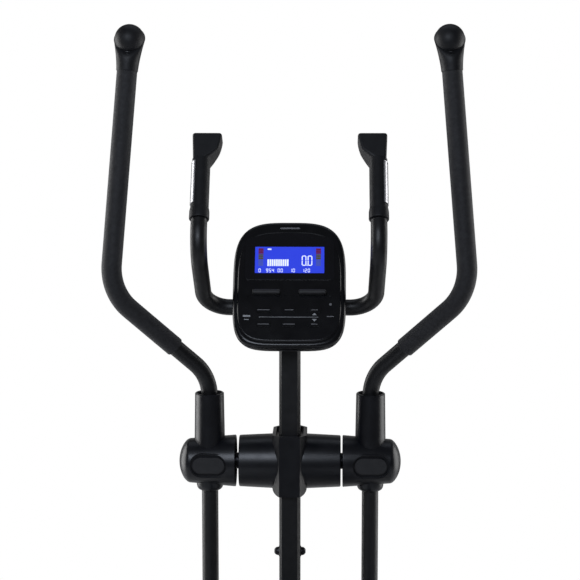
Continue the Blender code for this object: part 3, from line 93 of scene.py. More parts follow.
class Material:
    """A Principled material with noise in its colour, roughness and bump."""

    def __init__(self, name, colour, roughness, metallic=0.0, **uniform):
        self.made = bpy.data.materials.new(name)
        self.made.use_nodes = True
        self.nodes = self.made.node_tree.nodes
        self.links = self.made.node_tree.links
        self.shader = self.nodes["Principled BSDF"]
        set_inputs(self.shader, Base_Color=(*colour, 1), Roughness=roughness, Metallic=metallic,
                   **uniform)
        self.coordinates = self.nodes.new("ShaderNodeTexCoord").outputs["Object"]
        self.height = None

    def texture(self, kind, scale, stretch=(1, 1, 1), **settings):
        """A noise or cell texture in object space; returns its node."""
        mapping = self.nodes.new("ShaderNodeMapping")
        set_inputs(mapping, Scale=stretch)
        self.links.new(self.coordinates, mapping.inputs["Vector"])
        node = self.nodes.new(kind)
        set_inputs(node, Scale=scale, **settings)
        self.links.new(mapping.outputs["Vector"], node.inputs["Vector"])
        return node

    def ramp(self, source, low, high, start=0.3, end=0.7):
        """Map a factor to a number from low to high."""
        node = self.nodes.new("ShaderNodeMapRange")
        set_inputs(node, From_Min=start, From_Max=end, To_Min=low, To_Max=high)
        self.links.new(source, node.inputs["Value"])
        return node.outputs["Result"]

    def rough(self, low, high, scale, stretch=(1, 1, 1)):
        """Let the roughness wander between low and high."""
        noise = self.texture(NOISE, scale, stretch, Detail=4.0)
        wander = self.ramp(noise.outputs["Fac"], low, high)
        self.links.new(wander, self.shader.inputs["Roughness"])
        return self

    def colours(self, first, second, scale):
        """Let the colour wander between two close colours."""
        noise = self.texture(NOISE, scale, Detail=5.0)
        mix = self.nodes.new("ShaderNodeMix")
        mix.data_type = "RGBA"
        set_inputs(mix, A=(*first, 1), B=(*second, 1))
        share = self.ramp(noise.outputs["Fac"], 0.0, 1.0, 0.35, 0.65)
        self.links.new(share, mix.inputs["Factor"])
        self.links.new(mix.outputs["Result"], self.shader.inputs["Base Color"])
        return self

    def bump(self, kind, scale, depth, output="Fac", stretch=(1, 1, 1), **settings):
        """Add a layer of real relief, depth in metres."""
        node = self.texture(kind, scale, stretch, **settings)
        bump = self.nodes.new("ShaderNodeBump")
        set_inputs(bump, Strength=1.0, Distance=depth)
        self.links.new(node.outputs[output], bump.inputs["Height"])
        if self.height is not None:
            self.links.new(self.height, bump.inputs["Normal"])
        self.height = bump.outputs["Normal"]
        self.links.new(self.height, self.shader.inputs["Normal"])
        return self


POWDER = Material("powder_coat_black", (0.006, 0.0062, 0.0075), 0.42)
POWDER.colours((0.0048, 0.005, 0.0062), (0.0075, 0.0078, 0.0092), 60).rough(0.36, 0.48, 90)
POWDER.bump(NOISE, 900, 0.00003, Detail=3.0).bump(NOISE, 2600, 0.00001, Detail=2.0)

SATIN = Material("moulded_satin_black", (0.005, 0.0055, 0.0085), 0.33)
SATIN.colours((0.0042, 0.0048, 0.0075), (0.006, 0.0068, 0.01), 25).rough(0.28, 0.37, 40)
SATIN.bump(CELLS, 1500, 0.000022, "Distance").bump(NOISE, 3200, 0.000012, Detail=2.0)

MATT = Material("moulded_matt_black", (0.0062, 0.0066, 0.0085), 0.5, Specular_IOR_Level=0.4)
MATT.colours((0.0052, 0.0056, 0.0075), (0.0075, 0.008, 0.0102), 45).rough(0.46, 0.58, 70)
MATT.bump(CELLS, 1100, 0.00005, "Distance").bump(NOISE, 2400, 0.00002, Detail=2.0)

FACE = Material("moulded_gloss_black", (0.0045, 0.0048, 0.0065), 0.24, Specular_IOR_Level=0.42)
FACE.colours((0.004, 0.0043, 0.0058), (0.0052, 0.0056, 0.0074), 25).rough(0.2, 0.28, 40)
FACE.bump(CELLS, 1700, 0.000012, "Distance")

# Matt grey of the hub plugs. The console ledges take this lighter grey too, as painted light: it
# stands in for the light falling on their fronts.
PLUG_AND_LIT_LEDGE_GREY = Material("plug_grey_and_painted_ledge_light", (0.022, 0.022, 0.024), 0.55)
PLUG_AND_LIT_LEDGE_GREY.colours((0.02, 0.02, 0.022), (0.025, 0.025, 0.027), 80)
PLUG_AND_LIT_LEDGE_GREY.bump(CELLS, 1300, 0.00004, "Distance")

FOAM = Material("foam_black", (0.013, 0.013, 0.015), 0.8, Sheen_Weight=0.12, Sheen_Roughness=0.5)
FOAM.colours((0.01, 0.01, 0.012), (0.018, 0.018, 0.021), 120).rough(0.6, 0.74, 260)
FOAM.bump(CELLS, 1500, 0.00009, "Distance", Randomness=1.0)
FOAM.bump(NOISE, 420, 0.00008, Detail=4.0)

RUBBER = Material("rubber_black", (0.012, 0.012, 0.013), 0.72)
RUBBER.colours((0.01, 0.01, 0.011), (0.019, 0.018, 0.018), 70).rough(0.62, 0.8, 120)
RUBBER.bump(NOISE, 1400, 0.00006, Detail=4.0)

STEEL = Material("zinc_plated_steel", (0.5, 0.5, 0.52), 0.34, 1.0)
STEEL.colours((0.44, 0.45, 0.47), (0.56, 0.56, 0.57), 140).rough(0.26, 0.42, 300)
STEEL.bump(NOISE, 1200, 0.00003, Detail=3.0)

DARK_STEEL = Material("blackened_steel", (0.035, 0.035, 0.04), 0.38, 0.9)
DARK_STEEL.colours((0.028, 0.028, 0.032), (0.05, 0.05, 0.055), 110).rough(0.3, 0.46, 200)
DARK_STEEL.bump(NOISE, 1500, 0.00003, Detail=3.0)

PULSE = Material("polished_pulse_metal", (0.6, 0.6, 0.62), 0.24, 0.7)
PULSE.colours((0.56, 0.56, 0.58), (0.64, 0.64, 0.66), 50).rough(0.18, 0.28, 180, (1, 1, 0.05))
PULSE.bump(NOISE, 900, 0.00001, stretch=(1, 1, 0.04), Detail=2.0)

WINDOW = Material("black_display_window", (0.0035, 0.004, 0.007), 0.1,
                  Coat_Weight=0.6, Coat_Roughness=0.04)
WINDOW.colours((0.003, 0.0035, 0.006), (0.0045, 0.005, 0.009), 12).rough(0.07, 0.14, 30)

BOARD = Material("circuit_board_green", (0.02, 0.12, 0.05), 0.45)
BOARD.colours((0.015, 0.09, 0.035), (0.03, 0.15, 0.06), 90).rough(0.35, 0.55, 120)


def glowing(name, colour, strength, second):
    """A lit material that wanders between two close colours."""
    made = Material(name, colour, 0.3)
    made.colours(colour, second, 60)
    set_inputs(made.shader, Emission_Color=(*colour, 1), Emission_Strength=strength)
    return made


LCD_BLUE = glowing("display_backlight_blue", (0.026, 0.05, 0.66), 0.72, (0.03, 0.06, 0.68))
LCD_WHITE = glowing("display_segments_white", (0.8, 0.86, 1.0), 0.75, (0.86, 0.9, 1.0))
LCD_DIM = glowing("display_segments_dim", (0.06, 0.09, 0.42), 0.55, (0.07, 0.1, 0.46))
LCD_RED = glowing("display_bar_red", (0.16, 0.01, 0.01), 0.4, (0.2, 0.012, 0.012))
LCD_OLIVE = glowing("display_bar_olive", (0.1, 0.09, 0.012), 0.4, (0.12, 0.1, 0.014))
PRINT = Material("printed_marks_grey", (0.42, 0.43, 0.45), 0.45)
PRINT.colours((0.38, 0.39, 0.41), (0.46, 0.47, 0.49), 400).bump(NOISE, 2500, 0.00001)
PRINT_DIM = Material("printed_marks_dim", (0.2, 0.2, 0.215), 0.5)
PRINT_DIM.colours((0.18, 0.18, 0.19), (0.22, 0.22, 0.235), 400).bump(NOISE, 2500, 0.00001)


# ---- Building helpers ----
WELD = 0.000005


def put(name, data):
    obj = bpy.data.objects.new(name, data)
    bpy.context.scene.collection.objects.link(obj)
    return obj


def from_bmesh(name, bm):
    mesh = bpy.data.meshes.new(name)
    bm.to_mesh(mesh)
    bm.free()
    return put(name, mesh)


def baked(obj):
    """The object's evaluated shape as a plain welded mesh."""
    bpy.context.view_layer.update()
    graph = bpy.context.evaluated_depsgraph_get()
    mesh = bpy.data.meshes.new_from_object(obj.evaluated_get(graph))
    mesh.transform(obj.matrix_world)
    bm = bmesh.new()
    bm.from_mesh(mesh)
    bmesh.ops.remove_doubles(bm, verts=bm.verts, dist=WELD)
    bmesh.ops.dissolve_degenerate(bm, edges=bm.edges, dist=WELD)
    bmesh.ops.recalc_face_normals(bm, faces=bm.faces)
    bm.to_mesh(mesh)
    bm.free()
    name = obj.name
    bpy.data.objects.remove(obj, do_unlink=True)
    return put(name, mesh)


def boolean(obj, others, operation):
    for other in others:
        step = obj.modifiers.new(operation, "BOOLEAN")
        step.operation = operation
        step.object = other
        step.solver = "EXACT"
    made = baked(obj)
    for other in others:
        bpy.data.objects.remove(other, do_unlink=True)
    return made


def cut(obj, *others):
    return boolean(obj, others, "DIFFERENCE")


def join(obj, *others):
    return boolean(obj, others, "UNION")


def softened(obj, width, segments=3, angle=38):
    """Round the edges that are sharper than the angle."""
    bevel = obj.modifiers.new("softened", "BEVEL")
    bevel.width = width
    bevel.segments = segments
    bevel.limit_method = "ANGLE"
    bevel.angle_limit = radians(angle)
    bevel.miter_outer = "MITER_ARC"
    return baked(obj)


def move_to(obj, place):
    obj.data.transform(place)
    return obj


def box(name, low, high, place=Matrix()):
    low, high = Vector(low), Vector(high)
    bm = bmesh.new()
    bmesh.ops.create_cube(bm, size=1.0)
    bmesh.ops.scale(bm, vec=high - low, verts=bm.verts)
    bmesh.ops.translate(bm, vec=(low + high) / 2, verts=bm.verts)
    return move_to(from_bmesh(name, bm), place)


def facing(direction, centre=(0, 0, 0)):
    """Frame at the centre with +Z along the direction."""
    turn = Vector(direction).to_track_quat("Z", "Y").to_matrix().to_4x4()
    return Matrix.Translation(Vector(centre)) @ turn


def turned(name, profile, place, sides=64):
    """A turned piece from (distance along the axis, radius) points."""
    mesh = bpy.data.meshes.new(name)
    edges = [(i, i + 1) for i in range(len(profile) - 1)]
    if profile[0][1] > 0 or profile[-1][1] > 0:
        edges.append((len(profile) - 1, 0))
    mesh.from_pydata([(radius, 0, along) for along, radius in profile], edges, [])
    obj = put(name, mesh)
    screw = obj.modifiers.new("turn", "SCREW")
    screw.axis = "Z"
    screw.steps = sides
    screw.render_steps = sides
    screw.use_merge_vertices = True
    screw.merge_threshold = 0.00001
    obj.matrix_world = place
    return baked(obj)


def rod(name, radius, start, end, place, sides=48):
    return turned(name, [(start, 0), (start, radius), (end, radius), (end, 0)], place, sides)


def bent_path(corners, radii, step=radians(3)):
    """Points of a path with its inner corners rounded."""
    points = [corners[0]]
    for before, corner, after, radius in zip(corners, corners[1:], corners[2:], radii):
        inward, outward = (before - corner).normalized(), (after - corner).normalized()
        bend = pi - inward.angle(outward)
        middle = corner + (inward + outward).normalized() * radius / cos(bend / 2)
        reach = radius * tan(bend / 2)
        first = corner + inward * reach - middle
        axis = first.cross(corner + outward * reach - middle).normalized()
        count = ceil(bend / step)
        for i in range(count + 1):
            points.append(middle + Matrix.Rotation(bend * i / count, 3, axis) @ first)
    points.append(corners[-1])
    return points


def pipe(name, points, radius, wall, sides=48, thin_ends=1.0):
    """A bent tube with open ends and a real wall."""
    curve = bpy.data.curves.new(name, "CURVE")
    curve.dimensions = "3D"
    curve.bevel_depth = radius
    curve.bevel_resolution = (sides - 4) // 2
    spline = curve.splines.new("POLY")
    spline.points.add(len(points) - 1)
    for i, (spot, point) in enumerate(zip(spline.points, points)):
        spot.co = (*point, 1.0)
        spot.radius = thin_ends if i < 2 or i > len(points) - 3 else 1.0
    obj = put(name, curve)
    skin = obj.modifiers.new("wall", "SOLIDIFY")
    skin.thickness = wall
    skin.offset = -1.0
    return baked(obj)


def prism(name, outline, low, high, place):
    """An outline made solid from low to high along Z."""
    curve = bpy.data.curves.new(name, "CURVE")
    curve.dimensions = "2D"
    curve.fill_mode = "BOTH"
    curve.extrude = (high - low) / 2
    spline = curve.splines.new("POLY")
    spline.points.add(len(outline) - 1)
    for spot, (across, along) in zip(spline.points, outline):
        spot.co = (across, along, 0.0, 1.0)
    spline.use_cyclic_u = True
    obj = put(name, curve)
    obj.matrix_world = place @ Matrix.Translation((0, 0, (low + high) / 2))
    return baked(obj)


def arc(centre, radius, start, end, steps=12):
    points = []
    for i in range(steps + 1):
        angle = radians(start + (end - start) * i / steps)
        points.append((centre[0] + radius * cos(angle), centre[1] + radius * sin(angle)))
    return points


def quarter(steps):
    """Sine and cosine of the angles from 0 to 90 degrees."""
    angles = [radians(90 * i / steps) for i in range(steps + 1)]
    return [(sin(angle), cos(angle)) for angle in angles]


def mirrored(points):
    """The points on the other side of zero, in reverse order."""
    return [(-first, second) for first, second in reversed(points)]


def rounded_rectangle(half_width, half_height, radius, centre=(0, 0), steps=6):
    points = []
    reach_x, reach_y = half_width - radius, half_height - radius
    for sign_x, sign_y, start in ((1, 1, 0), (-1, 1, 90), (-1, -1, 180), (1, -1, 270)):
        corner = (centre[0] + sign_x * reach_x, centre[1] + sign_y * reach_y)
        points += arc(corner, radius, start, start + 90, steps)
    return points


def obround(half_width, half_height, steps=20):
    reach = half_width - half_height
    right = arc((reach, 0), half_height, -90, 90, steps)
    return right + arc((-reach, 0), half_height, 90, 270, steps)


def tight_loop(centre_a, radius_a, centre_b, radius_b, steps_a=96, steps_b=48):
    """The loop drawn tight around two circles, the first one the larger."""
    a, b = Vector(centre_a), Vector(centre_b)
    heading = degrees(atan2(b.y - a.y, b.x - a.x))
    lean = degrees(acos((radius_a - radius_b) / (b - a).length))
    far_side = arc(centre_a, radius_a, heading + lean, heading + 360 - lean, steps_a)
    return far_side + arc(centre_b, radius_b, heading - lean, heading + lean, steps_b)


SIDE_VIEW = Matrix(((0, 0, 1, 0), (1, 0, 0, 0), (0, 1, 0, 0), (0, 0, 0, 1)))


def show(obj, material, *nodes, body="frame", slot=None, smooth=32, weighted=True):
    """Finish a piece and say its body and the nodes it stands for; the slot is not used."""
    obj.data.materials.clear()
    obj.data.materials.append(material.made)
    obj.data.shade_smooth()
    obj.data.set_sharp_from_angle(angle=radians(smooth))
    if weighted:
        normals = obj.modifiers.new("normals", "WEIGHTED_NORMAL")
        normals.keep_sharp = True
    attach(obj, body)
    if nodes:
        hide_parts(*nodes)
    return obj


def from_cad(node, width, material, body="frame", segments=2):
    """A CAD node's copy with softened edges."""
    obj = put(node + "_finish", frame["nodes"][node].data.copy())
    bm = bmesh.new()
    bm.from_mesh(obj.data)
    bmesh.ops.remove_doubles(bm, verts=bm.verts, dist=0.00002)
    bmesh.ops.dissolve_limit(bm, angle_limit=radians(1), verts=bm.verts, edges=bm.edges)
    bm.to_mesh(obj.data)
    bm.free()
    if "custom_normal" in obj.data.attributes:
        obj.data.attributes.remove(obj.data.attributes["custom_normal"])
    return show(softened(obj, width, segments, 50), material, node, body=body)


def facing_out(side, centre=(0, 0, 0)):
    """Frame at the centre with +Z across the machine, away from its middle."""
    return facing((side, 0, 0), centre)


def lofted(name, rings):
    """A closed solid skinned over rings of points, flat at both ends."""
    bm = bmesh.new()
    rows = [[bm.verts.new(point) for point in ring] for ring in rings]
    for lower, upper in zip(rows, rows[1:]):
        for i, vert in enumerate(lower):
            after = (i + 1) % len(lower)
            bm.faces.new((vert, lower[after], upper[after], upper[i]))
    bm.faces.new(list(reversed(rows[0])))
    bm.faces.new(rows[-1])
    return from_bmesh(name, bm)


def merged(name, parts):
    """Several separate small solids as one object."""
    bm = bmesh.new()
    for part in parts:
        bm.from_mesh(part.data)
        bpy.data.objects.remove(part, do_unlink=True)
    return from_bmesh(name, bm)


# ---- Swing arms ----
def arm_spot(side, y=ARM.y, z=ARM.z):
    """A point in the plane of one swing arm: its pivot, unless y or z say otherwise."""
    return Vector((side * ARM_X, y, z))


def handlebar_corners(side):
    """Corners of the moving handlebar's centre line, from the arm up."""
    seat = Vector((ARM_X, 0.0, 0.0318))
    low_bend = Vector((ARM_X, 0.0, 0.166))
    high_bend = Vector((0.334, -0.095, 0.341))
    top = CAP_CENTRE - (CAP_CENTRE - high_bend).normalized() * CAP_OVER_TUBE
    return [ORIGIN + Vector((side * p.x, p.y, p.z)) for p in (seat, low_bend, high_bend, top)]


def handlebar(side, name):
    body = name + "_arm"
    foam_start, foam_end_gap = 0.355, 0.005
    corners = handlebar_corners(side)
    path = bent_path(corners, HANDLEBAR_BENDS)
    tube = pipe(f"handlebar_tube_{name}", path, TUBE_RADIUS, TUBE_WALL)
    show(tube, POWDER, f"handlebar_{name}", body=body)
    start = corners[1].lerp(corners[2], foam_start)
    end = corners[3] + (corners[2] - corners[3]).normalized() * foam_end_gap
    path = bent_path([start, corners[2], end], HANDLEBAR_BENDS[1:])
    foam = softened(pipe(f"foam_sleeve_{name}", path, FOAM_RADIUS, FOAM_WALL), 0.0009, 3, 60)
    show(foam, FOAM, f"foam_grip_{name}", body=body)


def ring_points(centre, normal, radius, count=72):
    across = (Vector((1, 0, 0)) - normal * normal.x).normalized()
    upward = normal.cross(across)
    turns = [2 * pi * i / count for i in range(count)]
    return [centre + (across * cos(turn) + upward * sin(turn)) * radius
            for turn in turns]


def grip_cap(side, name):
    """Trumpet-shaped end cap that bends towards the user."""
    neck_radius, flare, seam = 0.0202, 0.0088, 0.0007
    foot, dome_radius, dome_height = 0.0004, 0.0278, 0.0276
    corners = handlebar_corners(side)
    top, along = corners[3], (corners[3] - corners[2]).normalized()
    outward = Vector((0, -0.8, 0.6))
    centre, start = top + along * CAP_OVER_TUBE, top - along * 0.035
    rings = [ring_points(start, along, 0.0196)]
    for i in range(21):
        share = i / 20
        spot = start.lerp(centre, share) + along * seam
        normal = along.slerp(outward, share ** 1.3)
        rings.append(ring_points(spot, normal, neck_radius + flare * share ** 1.5))
    dome = [(0.0008, 0.029), (0.0013, 0.0286), (0.0012, 0.028), (foot, dome_radius)]
    for i in range(1, 16):
        angle = radians(89 * i / 15)
        dome.append((foot + dome_height * sin(angle), dome_radius * cos(angle)))
    rings += [ring_points(centre + outward * rise, outward, radius) for rise, radius in dome]
    cap = lofted(f"grip_cap_shell_{name}", rings)
    bore = [(-0.036, 0), (-0.036, 0.0192), (-0.004, 0.0192), (-0.004, 0.0162),
            (0.0003, 0.0162), (0.0003, 0)]
    cap = cut(cap, turned("bore", bore, facing(along, top), 48))
    show(cap, MATT, f"grip_cap_{name}", body=name + "_arm", smooth=40)


def hub(side, name):
    """Tapered barrel with a shallow dome, sleeve, skirt and plug."""
    body = name + "_arm"
    low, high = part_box(f"hub_cover_{name}")
    start, tip = sorted((abs(low.x), abs(high.x)))
    shoulder, inner, outer, wall = 0.1955, 0.05, 0.0428, 0.004
    rise, cap_radius = tip - shoulder, outer - 0.0006
    outside = [(start, 0), (start, inner - 0.0012), (start + 0.0004, inner - 0.0004),
               (start + 0.0014, inner), (shoulder - 0.002, outer + 0.0001),
               (shoulder - 0.0008, outer - 0.0001)]
    outside += [(shoulder + rise * sine ** 1.36, cap_radius * cosine)
                for sine, cosine in quarter(20)]
    outside[-1] = (tip, 0.0)
    away = facing_out(side, ORIGIN)
    upright = Matrix.Translation(arm_spot(side))
    deeper = upright @ Matrix.Diagonal((1, SLEEVE_DEPTH, 1, 1))
    made = turned(f"hub_shell_{name}", outside, away, 96)
    sleeve = [(0, 0), (0, 0.0297), (0.045, 0.0293), (0.1325, 0.0279), (0.1338, 0.0266), (0.1338, 0)]
    skirt = [(-0.057, 0), (-0.057, 0.018), (-0.0562, 0.0205), (-0.0545, 0.0228),
             (-0.0515, 0.0246), (-0.047, 0.0257), (-0.03, 0.0266), (-0.03, 0)]
    made = join(made, turned("sleeve", sleeve, deeper), turned("skirt", skirt, upright))
    cavity = [(start - 0.01, 0), (start - 0.01, inner - wall), (0.19, outer - wall),
              (0.2025, outer - 0.014), (0.2025, 0)]
    made = cut(
        made,
        turned("cavity", cavity, away),
        rod("tube_hole", TUBE_RADIUS + 2 * GAP, -0.07, 0.16, upright, 40),
        rod("mouth", 0.024, 0.118, 0.16, deeper, 56),
    )
    badge = facing((0, -1, 0), arm_spot(side) + Vector((0, 0, -0.001)))
    made = join(made, prism("pad", obround(0.0372, 0.0236), 0.037, 0.043, badge))
    made = cut(made, prism("pocket", obround(0.0345, 0.0208), 0.0395, 0.06, badge))
    show(softened(made, 0.0011, 3, 30), SATIN, f"hub_cover_{name}", body=body, smooth=40)
    plug = prism(f"hub_plug_face_{name}", obround(0.0305, 0.0155), 0.0403, 0.044, badge)
    show(softened(plug, 0.0009, 3, 60), PLUG_AND_LIT_LEDGE_GREY, f"hub_plug_{name}", body=body)


def lower_arm(side, name):
    """Steel swing arm with its pivot tube, spigot and bottom fork."""
    body = name + "_arm"
    pivot, foot = arm_spot(side), arm_spot(side, z=LOWER_PIVOT.z)
    at_foot = Matrix.Translation(foot)
    tube = [(-0.036, 0.0193), (-0.036, 0.024), (0.032, 0.024), (0.032, 0.0193)]
    arm = turned(f"swing_arm_{name}", tube, facing_out(side, pivot))
    leg = pipe("leg", [foot + Vector((0, 0, 0.03)), pivot - Vector((0, 0, 0.0215))], TUBE_RADIUS,
               TUBE_WALL)
    spigot = [(0.021, 0), (0.021, TUBE_RADIUS), (0.0315, TUBE_RADIUS), (0.0315, 0.0138),
              (0.095, 0.0138), (0.0965, 0.0125), (0.0965, 0)]
    fork = softened(box("fork", (-0.028, -0.02, 0), (0.028, 0.02, 0.036), at_foot), 0.003, 3)
    lobes = rod("lobes", 0.0202, -0.0278, 0.0278, facing_out(RIGHT, foot), 64)
    arm = join(arm, leg, turned("spigot", spigot, Matrix.Translation(pivot), 40), fork, lobes)
    arm = cut(
        arm,
        box("slot", (-0.023, -0.03, -0.03), (0.023, 0.03, 0.028), at_foot),
        rod("bolt_hole", 0.0054, -0.04, 0.04, facing_out(RIGHT, foot)),
    )
    show(softened(arm, 0.0008, 2, 45), POWDER, f"lower_arm_{name}", body=body)
    domed_bolt(f"lower_pivot_bolt_head_{name}", 0.028, 0.005, 0.0085, 0.008, foot, STEEL,
               f"lower_pivot_bolt_{name}", body)


def domed_bolt(name, half_grip, shank, head, height, centre, material, node, body="frame"):
    """A bolt across the machine with a washer and a domed socket head at each end."""
    seat, washer, socket = half_grip + GAP, head + 0.0022, 0.003
    end = [(seat, shank), (seat, washer - 0.0003), (seat + 0.0003, washer),
           (seat + 0.0012, washer), (seat + 0.0015, washer - 0.0003), (seat + 0.0015, head)]
    end += [(seat + 0.003 + (height - 0.003) * sine, head * cosine) for sine, cosine in quarter(8)]
    end[-1] = (seat + height, 0.0)
    bolt = turned(name, mirrored(end) + end, facing_out(RIGHT, centre), 48)
    for side in (RIGHT, LEFT):
        hexagon = arc((0, 0), 0.0032, 0, 300, 5)
        bolt = cut(bolt, prism("hex_socket", hexagon, seat + height - socket, seat + height + 0.01,
                               facing_out(side, centre)))
    show(softened(bolt, 0.0002, 2, 45), material, node, body=body)


# ---- Pedals ----
CRANK_RADIUS = 0.14
BAR_LENGTH = hypot(LOWER_PIVOT.y - CRANK.y, CRANK_RADIUS)
BAR_SLOPE = atan2(CRANK_RADIUS, LOWER_PIVOT.y - CRANK.y)


def bar_frame(side):
    """Frame of a pedal bar at its pivot on the swing arm, -Y along the bar."""
    pivot = arm_spot(side, LOWER_PIVOT.y, LOWER_PIVOT.z)
    return Matrix.Translation(pivot) @ Matrix.Rotation(-side * BAR_SLOPE, 4, "X")


def crank_pin(side):
    return Vector((0, CRANK.y, CRANK.z + side * CRANK_RADIUS))


def pedal_bar(side, name):
    body = name + "_pedal"
    pin_radius, pin_ring, pin_end = 0.0125, 0.018, ARM_X - 0.01
    place, rear = bar_frame(side), (0, -BAR_LENGTH, 0)
    bar = box(f"pedal_bar_tube_{name}", (-0.013, -BAR_LENGTH + 0.01, -0.023),
              (0.013, -0.042, 0.023), place)
    pin = [(0.0805, 0), (0.0805, pin_radius - 0.0005), (0.081, pin_radius), (0.1, pin_radius),
           (0.1, 0.0174), (0.1006, pin_ring), (pin_end, pin_ring), (pin_end, 0)]
    bar = join(
        softened(bar, 0.003, 3),
        rod("eye", 0.0195, -0.0227, 0.0227, place @ facing_out(RIGHT), 56),
        softened(box("neck", (-0.011, -0.046, -0.015), (0.011, -0.005, 0.015), place), 0.002, 2),
        rod("boss", 0.03, -0.024, 0.024, place @ facing_out(RIGHT, rear), 72),
        turned("pin", pin, facing_out(side, crank_pin(side)), 48),
    )
    show(softened(bar, 0.001, 3, 42), POWDER, f"pedal_bar_{name}", body=body)
    cover = [(0.0241, 0), (0.0241, 0.018), (0.0252, 0.0185), (0.0262, 0.0175), (0.0268, 0.012),
             (0.0268, 0)]
    cap = turned(f"crank_pin_cap_{name}", cover, place @ facing_out(side, rear), 56)
    show(cap, MATT, body=body)


def pedal_outline(inset=0.0):
    half_width, half_length = 0.065 - inset, 0.17 - inset
    toe, toe_x, toe_y = 0.04, half_width - 0.04, half_length - 0.04
    heel, heel_x, heel_y = 0.03, half_width - 0.038, half_length - 0.03
    return (arc((toe_x, toe_y), toe, 0, 90) + arc((-toe_x, toe_y), toe, 90, 180)
            + arc((-heel_x, -heel_y), heel, 180, 270) + arc((heel_x, -heel_y), heel, 270, 360))


def foot_pedal(side, name):
    """Moulded foot plate with a raised rim, highest at the toe, and a ribbed floor."""
    body = name + "_pedal"
    base, rim_rise, rows, row_pitch = 0.0233, 0.034, 15, 0.018
    place = bar_frame(side) @ Matrix.Translation((0, -0.28, 0))
    pedal = prism(f"foot_plate_{name}", pedal_outline(), base + 0.01, base + 0.072, place)
    slope = [(-0.18, base + 0.03), (0.02, base + 0.038)]
    for i in range(1, 9):
        share = i / 8
        slope.append((0.02 + 0.105 * share, base + 0.038 + rim_rise * share ** 1.6))
    slope += [(0.125, base + 0.12), (-0.18, base + 0.12)]
    pedal = join(
        softened(pedal, 0.004, 3, 60),
        box("mount", (-0.02, -0.11, base), (0.02, 0.09, base + 0.014), place),
    )
    pedal = cut(
        pedal,
        prism("foot_space", pedal_outline(0.007), base + 0.02, base + 0.1, place),
        prism("slope", slope, -0.1, 0.1, place @ SIDE_VIEW),
    )
    show(softened(pedal, 0.0016, 3, 40), MATT, f"foot_pedal_{name}", body=body)
    ribs = []
    for row in range(rows):
        along = -0.14 + row * row_pitch
        half = 0.044 if along < -0.12 else 0.046 if along > 0.1 else 0.05
        for offset in (-0.5, 0.5):
            rib = rounded_rectangle(half / 2 - 0.003, 0.0028, 0.0026, (offset * half, along))
            ribs.append(prism("rib", rib, base + 0.0195, base + 0.0215, place))
    show(softened(merged(f"foot_tread_{name}", ribs), 0.0006, 2, 60), RUBBER, body=body)


# ---- Post, axle and T cover ----
CONSOLE = (Matrix.Translation(ORIGIN + CONSOLE_CENTRE)
           @ Matrix.Rotation(radians(90) - CONSOLE_TILT, 4, "X"))


def post():
    """Upper post with its bracket, the clamping bolt and the axle."""
    low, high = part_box("upper_post")
    bottom, top, back = low.z, high.z, -0.0343
    at_post = Matrix.Translation((0, POST_Y, 0))
    across = facing_out(RIGHT, ORIGIN)
    corner = [(0.02, 0.0338), (0.0196, 0.0346), (0.015, 0.0399), (0.0144, 0.04)]
    half = corner + mirrored(corner)
    hollow = rounded_rectangle(0.018, 0.038, 0.004)
    made = prism("upper_post_tube", half + [(-x, -y) for x, y in half], bottom, top, at_post)
    made = cut(made, prism("hollow", hollow, bottom - 0.01, top + 0.01, at_post))
    made = join(made, rod("cross_tube", 0.021, -0.095, 0.095, across, 64))
    made = join(
        made,
        box("plate", (-0.032, -0.104, back - 0.003), (0.032, -0.034, back), CONSOLE),
        box("web", (-0.011, -0.094, back - 0.03), (0.011, -0.052, back - 0.001), CONSOLE),
    )
    made = cut(
        made,
        rod("axle_bore", 0.0158, -0.12, 0.12, across),
        rod("saddle", GRIP_BAR_RADIUS + GAP, -0.05, 0.05, facing_out(RIGHT, (0, POST_Y, top))),
    )
    show(softened(made, 0.0007, 2, 45), POWDER, "upper_post")
    bolt_low, bolt_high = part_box("post_bolt")
    domed_bolt("post_bolt_heads", 0.02, 0.004, 0.0082, 0.0108, (bolt_low + bolt_high) / 2,
               DARK_STEEL, "post_bolt")
    end = [(0.1905, 0.0155), (0.1905, 0.0205), (0.1915, 0.0215), (0.197, 0.0215),
           (0.1985, 0.0205), (0.2, 0.012), (0.2, 0)]
    show(turned("arm_axle_shaft", mirrored(end) + end, across), DARK_STEEL, "arm_axle")


def tee_barrel(name, offset):
    """The T cover's barrel, or the space inside it at an offset from its skin."""
    wide, narrow, shoulder, end = 0.053 - offset, 0.0498 - offset, 0.03, 0.098
    half = [(0, wide), (shoulder, wide)]
    if offset:
        half += [(end + 0.01, narrow), (end + 0.01, 0)]
    else:
        half += [(end - 0.0025, narrow), (end - 0.0008, narrow - 0.0005), (end, narrow - 0.0018),
                 (end, 0)]
    return turned(name, mirrored(half[1:]) + half, facing_out(RIGHT, ORIGIN), 112)


def collar_outline():
    """Front view of the collar: an hourglass, rounded at its bottom."""
    waist, flare, reach, top = 0.025, 0.008, 0.044, 0.0585
    half = []
    for i in range(29):
        z = top - (top + reach) * i / 28
        half.append((waist + flare * min(1.0, abs(z / reach) ** 2.2), z))
    half += arc((0.018, -reach), 0.015, -9, -90, 10)
    return half + mirrored(half)


